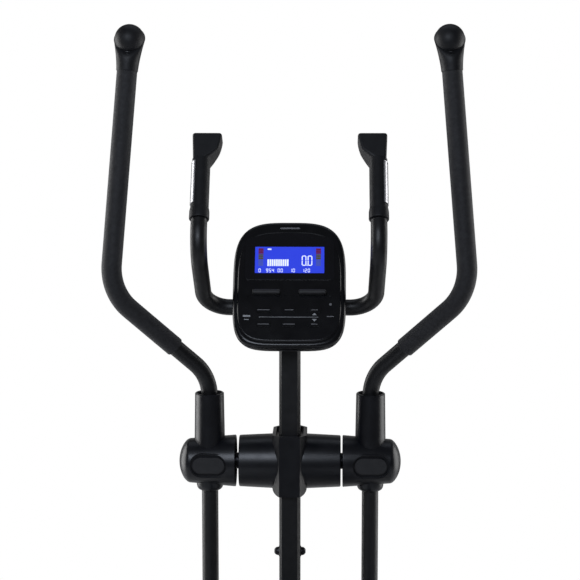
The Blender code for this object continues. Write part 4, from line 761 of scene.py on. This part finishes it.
def tee_cover():
    """Both halves of the T cover: a barrel with a waisted collar."""
    wall, split = 0.0035, 0.00015
    at_origin = Matrix.Translation(ORIGIN)
    upright = at_origin @ Matrix.Rotation(radians(90), 4, "X")
    chamfered = [(0.02, -0.056), (0.035, -0.037), (0.035, 0.037), (0.02, 0.056)]
    chamfered += mirrored(chamfered)
    for name, node, low_y, high_y in (("tee_shell_user_side", "tee_cover_rear", -0.1, -split),
                                      ("tee_shell_front_side", "tee_cover_front", split, 0.1)):
        cover = tee_barrel(name, 0.0)
        collar = prism("collar", collar_outline(), -0.056, 0.056, upright)
        collar = boolean(collar, [prism("plan", chamfered, -0.1, 0.1, at_origin)], "INTERSECT")
        cover = join(cover, softened(collar, 0.0022, 4, 25))
        cover = cut(
            cover,
            tee_barrel("barrel_space", wall),
            box("post_space", (-0.0206, -0.0406, -0.1), (0.0206, 0.0406, 0.1), at_origin),
            prism("rim", rounded_rectangle(0.0265, 0.0475, 0.008), 0.05, 0.1, at_origin),
        )
        keep = box("half", (-0.2, low_y, -0.1), (0.2, high_y, 0.1), at_origin)
        cover = softened(boolean(cover, [keep], "INTERSECT"), 0.0011, 3, 30)
        show(cover, SATIN, node, smooth=40)


# ---- Fixed handlebar ----
GRIP_ALONG = Vector((0, sin(GRIP_LEAN), cos(GRIP_LEAN)))
BAR_END = GRIP_LENGTH + HEAD_LENGTH * 0.35      # how far the bar reaches into the grip


def grip_place(side):
    """Frame at a fixed grip's lower ring, +Z along it and +X outwards."""
    across = Vector((side, 0, 0))
    turn = Matrix((across, GRIP_ALONG.cross(across), GRIP_ALONG)).transposed().to_4x4()
    spot = ORIGIN + Vector((side * KNEE.x, KNEE.y, KNEE.z)) + GRIP_ALONG * GRIP_START
    return Matrix.Translation(spot) @ turn


def fixed_handlebar():
    half = [Vector((0.163, 0, 0.3)), KNEE, KNEE + GRIP_ALONG * GRIP_START]
    left = [ORIGIN + Vector((-p.x, p.y, p.z)) for p in reversed(half)]
    points = bent_path(left + [ORIGIN + p for p in half], (0.06, 0.05, 0.05, 0.06))
    for step in (GRIP_ALONG * 0.001, GRIP_ALONG * BAR_END):
        points = [points[0] + step, *points, points[-1] + step]
    bar = pipe("fixed_bar_tube", points, GRIP_BAR_RADIUS, GRIP_BAR_WALL, thin_ends=0.774)
    show(bar, POWDER, "fixed_handlebar")
    from_cad("handlebar_clamp", 0.0008, DARK_STEEL)


def grip_head(side):
    """The grip's head: flared inwards, with a diagonal crease in front."""
    flare, sharp_top, crease_start, crease_end, crease_depth = 0.024, 0.99, 0.12, 0.488, 0.0323
    bm = bmesh.new()
    bmesh.ops.create_cube(bm, size=2.0)
    upright = [e for e in bm.edges if abs(e.verts[0].co.z - e.verts[1].co.z) > 1]
    bmesh.ops.subdivide_edges(bm, edges=upright, cuts=11, use_grid_fill=True)
    for vert in bm.verts:
        share = (vert.co.z + 1) / 2
        outer = GRIP_RADIUS - 0.003 * (1 - share)
        inner = GRIP_RADIUS - 0.003 + flare * (1 - (1 - share) ** 2)
        user_side = -side * vert.co.y > 0
        x = outer if vert.co.x > 0 else -inner
        if user_side and vert.co.x < 0:
            crease = max(0.0, share - crease_start) / (crease_end - crease_start)
            x = -min(inner, crease_depth * crease)
        arch = 0.002 * (1 - (x + 0.01) ** 2 / 0.0009) if share > sharp_top else 0.0
        height = GRIP_LENGTH + HEAD_LENGTH * (0.05 + 0.95 * share) + max(arch, -0.002)
        vert.co = (x, vert.co.y * (0.015 + 0.0035 * share), height)
    return softened(move_to(from_bmesh("head", bm), grip_place(side)), 0.0062, 5, 50)


def fixed_grip(side, name):
    """Moulded grip: a ringed sleeve, its head and its pulse plate."""
    place = grip_place(side)
    sleeve = [(0.0015, 0), (0.0015, 0.0172), (0.0022, 0.0184), (0.004, 0.019), (0.018, 0.0188),
              (0.024, 0.0178), (0.025, 0.0172), (GRIP_LENGTH + 0.02, 0.0172),
              (GRIP_LENGTH + 0.02, 0)]
    bore = [(-0.01, 0), (-0.01, 0.0124), (BAR_END + 0.002, 0.0124), (BAR_END + 0.002, 0)]
    grip = join(turned(f"fixed_grip_shell_{name}", sleeve, place), grip_head(side))
    grip = cut(grip, plate_shape("seat", place, 0.0004), turned("bore", bore, place, 40))
    show(softened(grip, 0.001, 3, 35), MATT, f"fixed_grip_{name}", smooth=40)
    plate = softened(plate_shape(f"pulse_plate_face_{name}", place, 0.0), 0.0003, 2, 60)
    show(plate, PULSE, f"pulse_plate_{name}")


def plate_shape(name, place, grow):
    """Curved pulse plate on the grip's outer side, or its seat when it is grown."""
    inner, outer = GRIP_RADIUS - 0.0016 - grow, GRIP_RADIUS + 0.0008 + 3 * grow
    spread = degrees(radians(56) + grow / GRIP_RADIUS)
    outline = arc((0, 0), outer, -spread, spread, 28) + arc((0, 0), inner, spread, -spread, 28)
    return prism(name, outline, 0.032 - grow, GRIP_LENGTH + 0.012 + grow, place)


# ---- Console ----
PANEL_TOP, PANEL_BOTTOM, PANEL_INSET = 0.1065, -0.119, 0.01
KEY_COLUMN = 0.0475
# Each key's place on the face and half the width of its mark
KEYS = {"start_key": ((-KEY_COLUMN, -0.056), 0.0118), "mode_key": ((0, -0.056), 0.0082),
        "up_key": ((KEY_COLUMN, -0.056), 0.0064), "recovery_key": ((-KEY_COLUMN, -0.085), 0.0105),
        "reset_key": ((0, -0.085), 0.0112), "down_key": ((KEY_COLUMN, -0.085), 0.006)}
LIT, PRINTED = (0.0003, 0.0005), (0.0, 0.0002)      # low and high faces above the console's face


def console_outline(scale=1.0, grow=0.0):
    """The console's outline, squarer at its bottom than at its top."""
    points = []
    for i in range(160):
        angle = 2 * pi * i / 160
        across, up = cos(angle), sin(angle)
        power = 3.55 if up > 0 else 4.75
        size = (abs(across) ** power + abs(up) ** power) ** (-1 / power)
        points.append(((CONSOLE_HALF[0] * scale + grow) * across * size,
                       (CONSOLE_HALF[1] * scale + grow) * up * size))
    return points


def panel_outline(grow):
    """Outline of the raised face panel, which leaves a wider band free above it."""
    half = CONSOLE_HALF[1] - PANEL_INSET
    middle, scale = (PANEL_TOP + PANEL_BOTTOM) / 2, (PANEL_TOP - PANEL_BOTTOM) / 2 / half
    return [(x, middle + (y - copysign(grow, y)) * scale + copysign(grow, y))
            for x, y in console_outline(grow=grow - PANEL_INSET)]


def console_loft(name, levels):
    """A solid skinned over outlines, each at its height in the console's frame."""
    return lofted(name, [[CONSOLE @ Vector((x, y, height)) for x, y in outline]
                         for height, outline in levels])


def rounded_rim(edge, rim, scale=1.0):
    """Levels that round a shell's rim over to the height of its edge."""
    return [(edge + rim * (1 - sine), console_outline(scale, -abs(rim) * (1 - cosine)))
            for sine, cosine in quarter(8)]


def console_shell(name):
    """Front shell with a rounded rim, a fine valley and the raised face panel."""
    rim, valley, back = 0.008, -0.0024, -0.016
    levels = [(back, console_outline()), *rounded_rim(valley + 0.0003, -rim)]
    for height, grow in ((valley, 0.0012), (valley + 0.0004, 0.0006), (-0.0008, -0.0004),
                         (-0.0002, -0.0012), (0.0, -0.0026)):
        levels.append((height, panel_outline(grow)))
    return console_loft(name, levels)


def console_rear_shell(name):
    rim, front, back, scale = 0.011, -0.0163, -0.034, 0.985
    levels = [(front, console_outline(scale)), *rounded_rim(back, rim, scale)]
    return console_loft(name, levels)


def lens_outline(grow=0.0):
    half, low, high, rise, corner = 0.0848 + grow, 0.006 - grow, 0.095 + grow, 0.01, 0.014
    foot = corner / 2
    points = arc((half - foot, low + foot), foot, -90, 0, 8)
    points += arc((half - corner, high - corner), corner, 0, 75, 10)
    inner = points[-1][0]
    arch = [(inner * (1 - i / 10), high + rise * (1 - (1 - i / 10) ** 2)) for i in range(1, 20)]
    return points + arch + mirrored(points)


def tile(centre, half_width, half_height, radius, faces, steps=2, name="tile"):
    """A small flat tile with rounded corners between two heights on the console."""
    outline = rounded_rectangle(half_width, half_height, radius, centre, steps)
    return prism(name, outline, *faces, CONSOLE)


def console():
    shell = console_shell("console_front_shell")
    # Painted light: the ledges are of the shell's plastic but are drawn in the lighter plug grey,
    # which stands in for the light on their fronts.
    ledges = [softened(box("ledge", (low, -0.026, 0.0002), (high, -0.017, 0.011), CONSOLE),
                       0.0034, 5)
              for low, high in ((-0.069, -0.0165), (0.0175, 0.0695))]
    show(merged("console_ledges_painted_lit", ledges), PLUG_AND_LIT_LEDGE_GREY, slot="satin_plastic")
    shell = cut(
        shell,
        prism("inside", console_outline(0.94), -0.03, -0.004, CONSOLE),
        prism("lens_seat", lens_outline(GAP), -0.0023, 0.01, CONSOLE),
        tile((0, -0.033), 0.079, 0.007, 0.006, (-0.0016, 0.01), 6),
        *[tile(spot, 0.0133, 0.0058, 0.003, (-0.01, 0.01), 6) for spot, _ in KEYS.values()],
    )
    show(softened(shell, 0.0006, 3, 35), FACE, "console_front")
    back = console_rear_shell("console_back_shell")
    back = cut(back, prism("inside", console_outline(0.92), -0.031, 0, CONSOLE))
    show(softened(back, 0.0005, 2, 35), MATT, "console_back")
    lens = softened(prism("console_window", lens_outline(), -0.002, 0.0, CONSOLE), 0.0004, 2, 60)
    show(lens, WINDOW, "console_lens")
    for name, (spot, half_mark) in KEYS.items():
        key = tile(spot, 0.013, 0.0055, 0.003, (-0.0035, 0.0007), 6, name + "_face")
        show(softened(key, 0.0005, 3, 60), FACE, name, body=name, slot="matt_plastic")
        mark = tile(spot, half_mark, 0.0007, 0.0006, (0.0006, 0.00085), 6, name + "_mark")
        show(mark, PRINT_DIM, body=name, slot="matt_plastic", weighted=False)
    display()
    marks()


# Each bar of a seven-segment figure: its middle across and up, and whether it stands upright
SEGMENTS = {"a": (0.5, 1.0, 0), "b": (1.0, 0.75, 1), "c": (1.0, 0.25, 1), "d": (0.5, 0.0, 0),
            "e": (0.0, 0.25, 1), "f": (0.0, 0.75, 1), "g": (0.5, 0.5, 0)}
DIGITS = {"0": "abcdef", "1": "bc", "4": "fgbc", "5": "afgcd", "9": "abcdfg", "2": "abged"}


def digit(figure, left, low, width, height, stroke):
    """One seven-segment figure as small flat bars."""
    bars = []
    for letter in DIGITS[figure]:
        across, up, vertical = SEGMENTS[letter]
        half = (width / 2 - stroke * 0.25, stroke / 2)
        if vertical:
            half = (stroke / 2, height / 4 - stroke * 0.25)
        bars.append(tile((left + width * across, low + height * up), *half, stroke * 0.3, LIT))
    return bars


def display():
    """The lit display: blue ground, white figures, a bar chart and two side scales."""
    panel = tile((0, 0.0478), 0.0655, 0.0275, 0.0012, (0.0001, 0.0003), 6, "display_panel")
    show(panel, LCD_BLUE, weighted=False)
    white = [tile((0.033, 0.0365), 0.001, 0.001, 0.0005, LIT),
             tile((-0.0385, 0.0702), 0.0035, 0.0014, 0.0004, LIT)]
    for left in (0.0238, 0.035):
        white += digit("0", left, 0.0365, 0.007, 0.0195, 0.0019)
    for column in range(10):
        white.append(tile((-0.0405 + column * 0.0041, 0.0418), 0.0015, 0.007, 0.0003, LIT))
    places = (-0.058, -0.044, -0.0385, -0.033, -0.022, -0.0165, 0.001, 0.0065, 0.024, 0.0295, 0.035)
    for figure, left in zip("09540010120", places):
        white += digit(figure, left, 0.0222, 0.0032, 0.0068, 0.001)
    show(merged("display_figures", white), LCD_WHITE, weighted=False)
    for name, material, low, high in (("red", LCD_RED, 0.0605, 0.0722),
                                      ("olive", LCD_OLIVE, 0.0485, 0.06),
                                      ("dim", LCD_DIM, 0.035, 0.048)):
        bars = []
        for middle in (-0.0545, 0.0545):
            for step in range(3):
                at = low + (high - low) * (step + 0.5) / 3
                bars.append(tile((middle, at), 0.0048, (high - low) / 6 - 0.0003, 0.0003, LIT))
        show(merged("display_scale_" + name, bars), material, weighted=False)


def marks():
    """Generic printed marks around the keys: a line, two arrows, a dot and short dashes."""
    up_arrow = [(0.043, -0.0665), (0.052, -0.0665), (0.0475, -0.062)]
    down_arrow = [(0.043, -0.0745), (0.0475, -0.079), (0.052, -0.0745)]
    bright = [
        tile((-0.0005, -0.0705), 0.0555, 0.0004, 0.0003, PRINTED),
        prism("up", up_arrow, *PRINTED, CONSOLE),
        prism("down", down_arrow, *PRINTED, CONSOLE),
        tile((-0.079, -0.0684), 0.0068, 0.0018, 0.0008, PRINTED, 3),
        tile((-0.079, -0.0755), 0.0045, 0.0007, 0.0005, PRINTED, 3),
    ]
    show(merged("console_marks", bright), PRINT, weighted=False)
    dim = [
        prism("dot", arc((0.0775, -0.0443), 0.0024, 0, 345, 23), *PRINTED, CONSOLE),
        tile((0.077, -0.069), 0.0065, 0.0009, 0.0006, PRINTED, 3),
        tile((0, 0.116), 0.019, 0.0016, 0.0014, (-0.0024, -0.0019), 5),
    ]
    show(merged("console_dim_marks", dim), PRINT_DIM, weighted=False)


# ---- Base ----
def base():
    from_cad("base_frame", 0.0007, POWDER)
    for name in ("front_stabiliser", "rear_stabiliser"):
        low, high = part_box(name)
        half = (high.x - low.x) / 2
        profile = [(-half, 0.028), (-half, 0.03), (half, 0.03), (half, 0.028)]
        tube = turned(name + "_tube", profile, facing_out(RIGHT, (low + high) / 2), 80)
        show(tube, POWDER, name)
    for side, name in SIDE_NAMES.items():
        front_end_cap(side, name)
        transport_wheel(name)
        from_cad(f"levelling_cap_{name}", 0.0007, RUBBER, f"{name}_levelling_cap", 3)


def wheel_centre(name):
    return Vector(JOINTS[f"{name}_transport_wheel_roll"]["pos_m"])


def front_end_cap(side, name):
    """End cap with its flat sole and the wheel's two cheeks."""
    wheel = wheel_centre(name)
    low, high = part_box("front_stabiliser")
    middle = (low + high) / 2
    centre, sole_x = Vector((0, middle.y, middle.z)), side * 0.264
    start, end, bore, rim, tube_end = 0.236, 0.292, 0.0303, 0.0345, 0.2753
    cup = [(start, bore), (start, rim - 0.0012), (start + 0.0012, rim), (end - 0.01, rim),
           (end - 0.006, rim - 0.0008), (end - 0.003, rim - 0.003), (end - 0.001, rim - 0.007),
           (end, rim - 0.012), (end, 0.0), (tube_end, 0.0), (tube_end, bore)]
    cap = turned(f"front_cap_{name}", cup, facing_out(side, centre), 80)
    sole = box("sole", (sole_x - 0.026, middle.y - 0.024, 0),
               (sole_x + 0.026, middle.y + 0.024, 0.02))
    parts = [softened(sole, 0.003, 3)]
    cheek = arc((wheel.y, wheel.z), 0.014, -90, 90)
    cheek += [(middle.y + 0.01, 0.06), (middle.y + 0.01, 0.022)]
    for inner in (-0.0145, 0.0085):
        low, high = sorted((wheel.x + side * inner, wheel.x + side * (inner + 0.006)))
        parts.append(prism("cheek", cheek, low, high, SIDE_VIEW))
    parts.append(rod("pin", 0.0035, -0.012, 0.012, facing_out(RIGHT, wheel), 32))
    cap = join(cap, *parts)
    cap = cut(cap, rod("space", bore, -tube_end, tube_end, facing_out(RIGHT, centre), 80))
    show(softened(cap, 0.0008, 2, 45), RUBBER, f"front_end_cap_{name}")


def transport_wheel(name):
    half = [(0.0078, 0.004), (0.0078, 0.0075), (0.0066, 0.0082), (0.005, 0.0095),
            (0.005, 0.017), (0.007, 0.0185), (0.0078, 0.02), (0.0076, 0.023),
            (0.0062, 0.025), (0.004, 0.0258), (0.0012, 0.026)]
    profile = [(-along, radius) for along, radius in half] + list(reversed(half))
    roller = turned(f"transport_roller_{name}", profile, facing_out(RIGHT, wheel_centre(name)))
    show(roller, RUBBER, f"transport_wheel_{name}", body=f"{name}_transport_wheel")


# ---- Drive ----
CASING_HALF_WIDTH = 0.055
DRUM_RADIUS, NOSE_RADIUS, CASING_WALL = 0.24, 0.145, 0.003
RAIL_TOP = 0.042 + 0.03 + GAP + 0.06      # stabiliser's height and radius, gap, rail


def casing(side, name):
    crank, wheel = (CRANK.y, CRANK.z), (FLYWHEEL.y, FLYWHEEL.z)
    low, high = sorted((-side * 0.03, side * CASING_HALF_WIDTH))
    inner_low, inner_high = sorted((-side * 0.04, side * (CASING_HALF_WIDTH - CASING_WALL)))
    other_low, other_high = sorted((-side * 0.05, side * 0.00015))
    outside = tight_loop(crank, DRUM_RADIUS, wheel, NOSE_RADIUS)
    inside = tight_loop(crank, DRUM_RADIUS - CASING_WALL, wheel, NOSE_RADIUS - CASING_WALL)
    shell = prism(f"casing_shell_{name}", outside, low, high, SIDE_VIEW)
    shell = cut(
        softened(shell, 0.012, 6, 60),
        prism("inside", inside, inner_low, inner_high, SIDE_VIEW),
        box("rail_space", (-0.0256, CRANK.y - 0.5, -0.01),
            (0.0256, CRANK.y + 0.8, RAIL_TOP + 0.0006)),
        rod("axle_hole", 0.016, -0.1, 0.1, facing_out(RIGHT, CRANK)),
        box("other_half", (other_low, CRANK.y - 0.52, -0.02), (other_high, CRANK.y + 0.82, 0.62)),
    )
    show(softened(shell, 0.0008, 2, 50), SATIN, f"casing_{name}")
    screws = []
    for centre, radius, angles in ((crank, 0.2265, (100, 160, 215, 262)),
                                   (wheel, 0.128, (-62, 20))):
        for angle in angles:
            at = arc(centre, radius, angle, angle, 1)[0]
            screws.append(screw_head(side, Vector((side * CASING_HALF_WIDTH, *at))))
    show(merged(f"casing_screws_{name}", screws), DARK_STEEL)


def screw_head(side, centre):
    profile = [(-0.004, 0), (-0.004, 0.0038), (0.0002, 0.0038), (0.0008, 0.0034),
               (0.0012, 0.0022), (0.0013, 0)]
    place = facing_out(side, centre)
    slots = [box("slot", (-long, -wide, 0.0002), (long, wide, 0.01), place)
             for long, wide in ((0.002, 0.0004), (0.0004, 0.002))]
    return cut(turned("screw", profile, place, 32), *slots)


def crank_disc(side, name):
    """Dished cover of the crank and the raised ring around its pin."""
    radius, edge, rim, face, wall = 0.215, 0.012, 0.0565, 0.08, 0.003
    inner_face = face - wall - 0.002
    profile = [(face - 0.0012, 0), (face - 0.0012, 0.06), (face, 0.0625), (face, radius - 0.03),
               (face - 0.001, radius - 0.0285), (face - 0.001, radius - 0.0265),
               (face, radius - 0.025)]
    profile += [(face - 0.01 + 0.01 * cosine, radius - edge + edge * sine)
                for sine, cosine in quarter(8)]
    profile += [(rim, radius), (rim, radius - wall), (face - 0.01, radius - wall),
                (inner_face, radius - 0.013), (inner_face, 0)]
    centre = facing_out(side, (0, CRANK.y, CRANK.z))
    disc = turned(f"crank_disc_cover_{name}", profile, centre, 144)
    show(disc, SATIN, f"crank_disc_{name}", body="crank")
    ring = [(0.077, 0.0142), (0.077, 0.023), (0.08, 0.023), (0.0803, 0.0222),
            (0.0803, 0.0146)]
    collar = turned(f"crank_pin_ring_{name}", ring, facing_out(side, crank_pin(side)), 56)
    show(collar, MATT, body="crank")


HIDDEN_NODES = {"arm_bushing_right": MATT, "arm_bushing_left": MATT, "circuit_board": BOARD,
                "crankset": DARK_STEEL, "drive_pulley": MATT, "flywheel": STEEL,
                "drive_belt": RUBBER, "brake_bracket": DARK_STEEL}


def hidden_nodes():
    """Inner pieces keep their CAD shape and take a finish."""
    for node, material in HIDDEN_NODES.items():
        obj = frame["nodes"][node]
        obj.data.materials.clear()
        obj.data.materials.append(material.made)


# ---- Stage ----
def studio():
    """White floor and world, and five soft boxes around the machine."""
    floor = box("studio_floor", (-2.1, -2.1, -0.02), (2.1, 2.1, -0.0005))
    plain = Material("studio_floor_white", (0.93, 0.93, 0.93), 0.6)
    plain.colours((0.92, 0.92, 0.92), (0.94, 0.94, 0.94), 3).rough(0.55, 0.65, 5)
    floor.data.materials.append(plain.made)
    world = bpy.data.worlds.new("studio_world")
    world.use_nodes = True
    nodes, links = world.node_tree.nodes, world.node_tree.links
    background = nodes["Background"]
    set_inputs(background, Color=(1, 1, 1, 1))
    rays = nodes.new("ShaderNodeLightPath")
    strength = nodes.new("ShaderNodeMapRange")
    set_inputs(strength, To_Min=0.07, To_Max=1.0)
    links.new(rays.outputs["Is Camera Ray"], strength.inputs["Value"])
    links.new(strength.outputs["Result"], background.inputs["Strength"])
    bpy.context.scene.world = world
    middle = ORIGIN + Vector((0, 0, 0.15))
    cool, white = (0.8, 0.87, 1.0), (1, 1, 1)
    for name, offset, size, power, colour in (
            ("softbox_user_side", (-0.7, -2.9, 1.5), (1.8, 1.2), 38, cool),
            ("softbox_left", (-2.6, 0.8, 0.1), (2.0, 2.6), 54, white),
            ("softbox_right", (2.6, 0.9, 0.1), (2.0, 2.6), 40, white),
            ("softbox_top", (0.1, 0.6, 2.4), (2.2, 1.2), 5, cool),
            ("softbox_behind", (0.0, 3.2, 0.5), (5.0, 3.2), 12, white)):
        data = bpy.data.lights.new(name, "AREA")
        data.shape = "RECTANGLE"
        data.size, data.size_y = size
        data.energy = power
        data.color = colour
        lamp = put(name, data)
        lamp.location = middle + Vector(offset)
        lamp.visible_camera = False
        lamp.rotation_euler = (middle - lamp.location).to_track_quat("-Z", "Y").to_euler()


def camera():
    """Camera behind the user's place, looking down 7 degrees."""
    data = bpy.data.cameras.new("camera")
    data.sensor_width = 36
    data.lens = 102.4
    eye = Vector((0.07, POST_Y - 3.134, ORIGIN.z + 0.724))
    made = put("camera", data)
    made.location = eye
    made.rotation_euler = (radians(90 - 7.1), 0, atan2(eye.x, POST_Y - eye.y))
    bpy.context.scene.camera = made
    bpy.context.scene.view_settings.view_transform = "Standard"


camera()
studio()
post()
tee_cover()
fixed_handlebar()
console()
base()
for each_side, each_name in SIDE_NAMES.items():
    for build in (handlebar, grip_cap, hub, lower_arm, pedal_bar, foot_pedal, fixed_grip, casing,
                  crank_disc):
        build(each_side, each_name)
hidden_nodes()
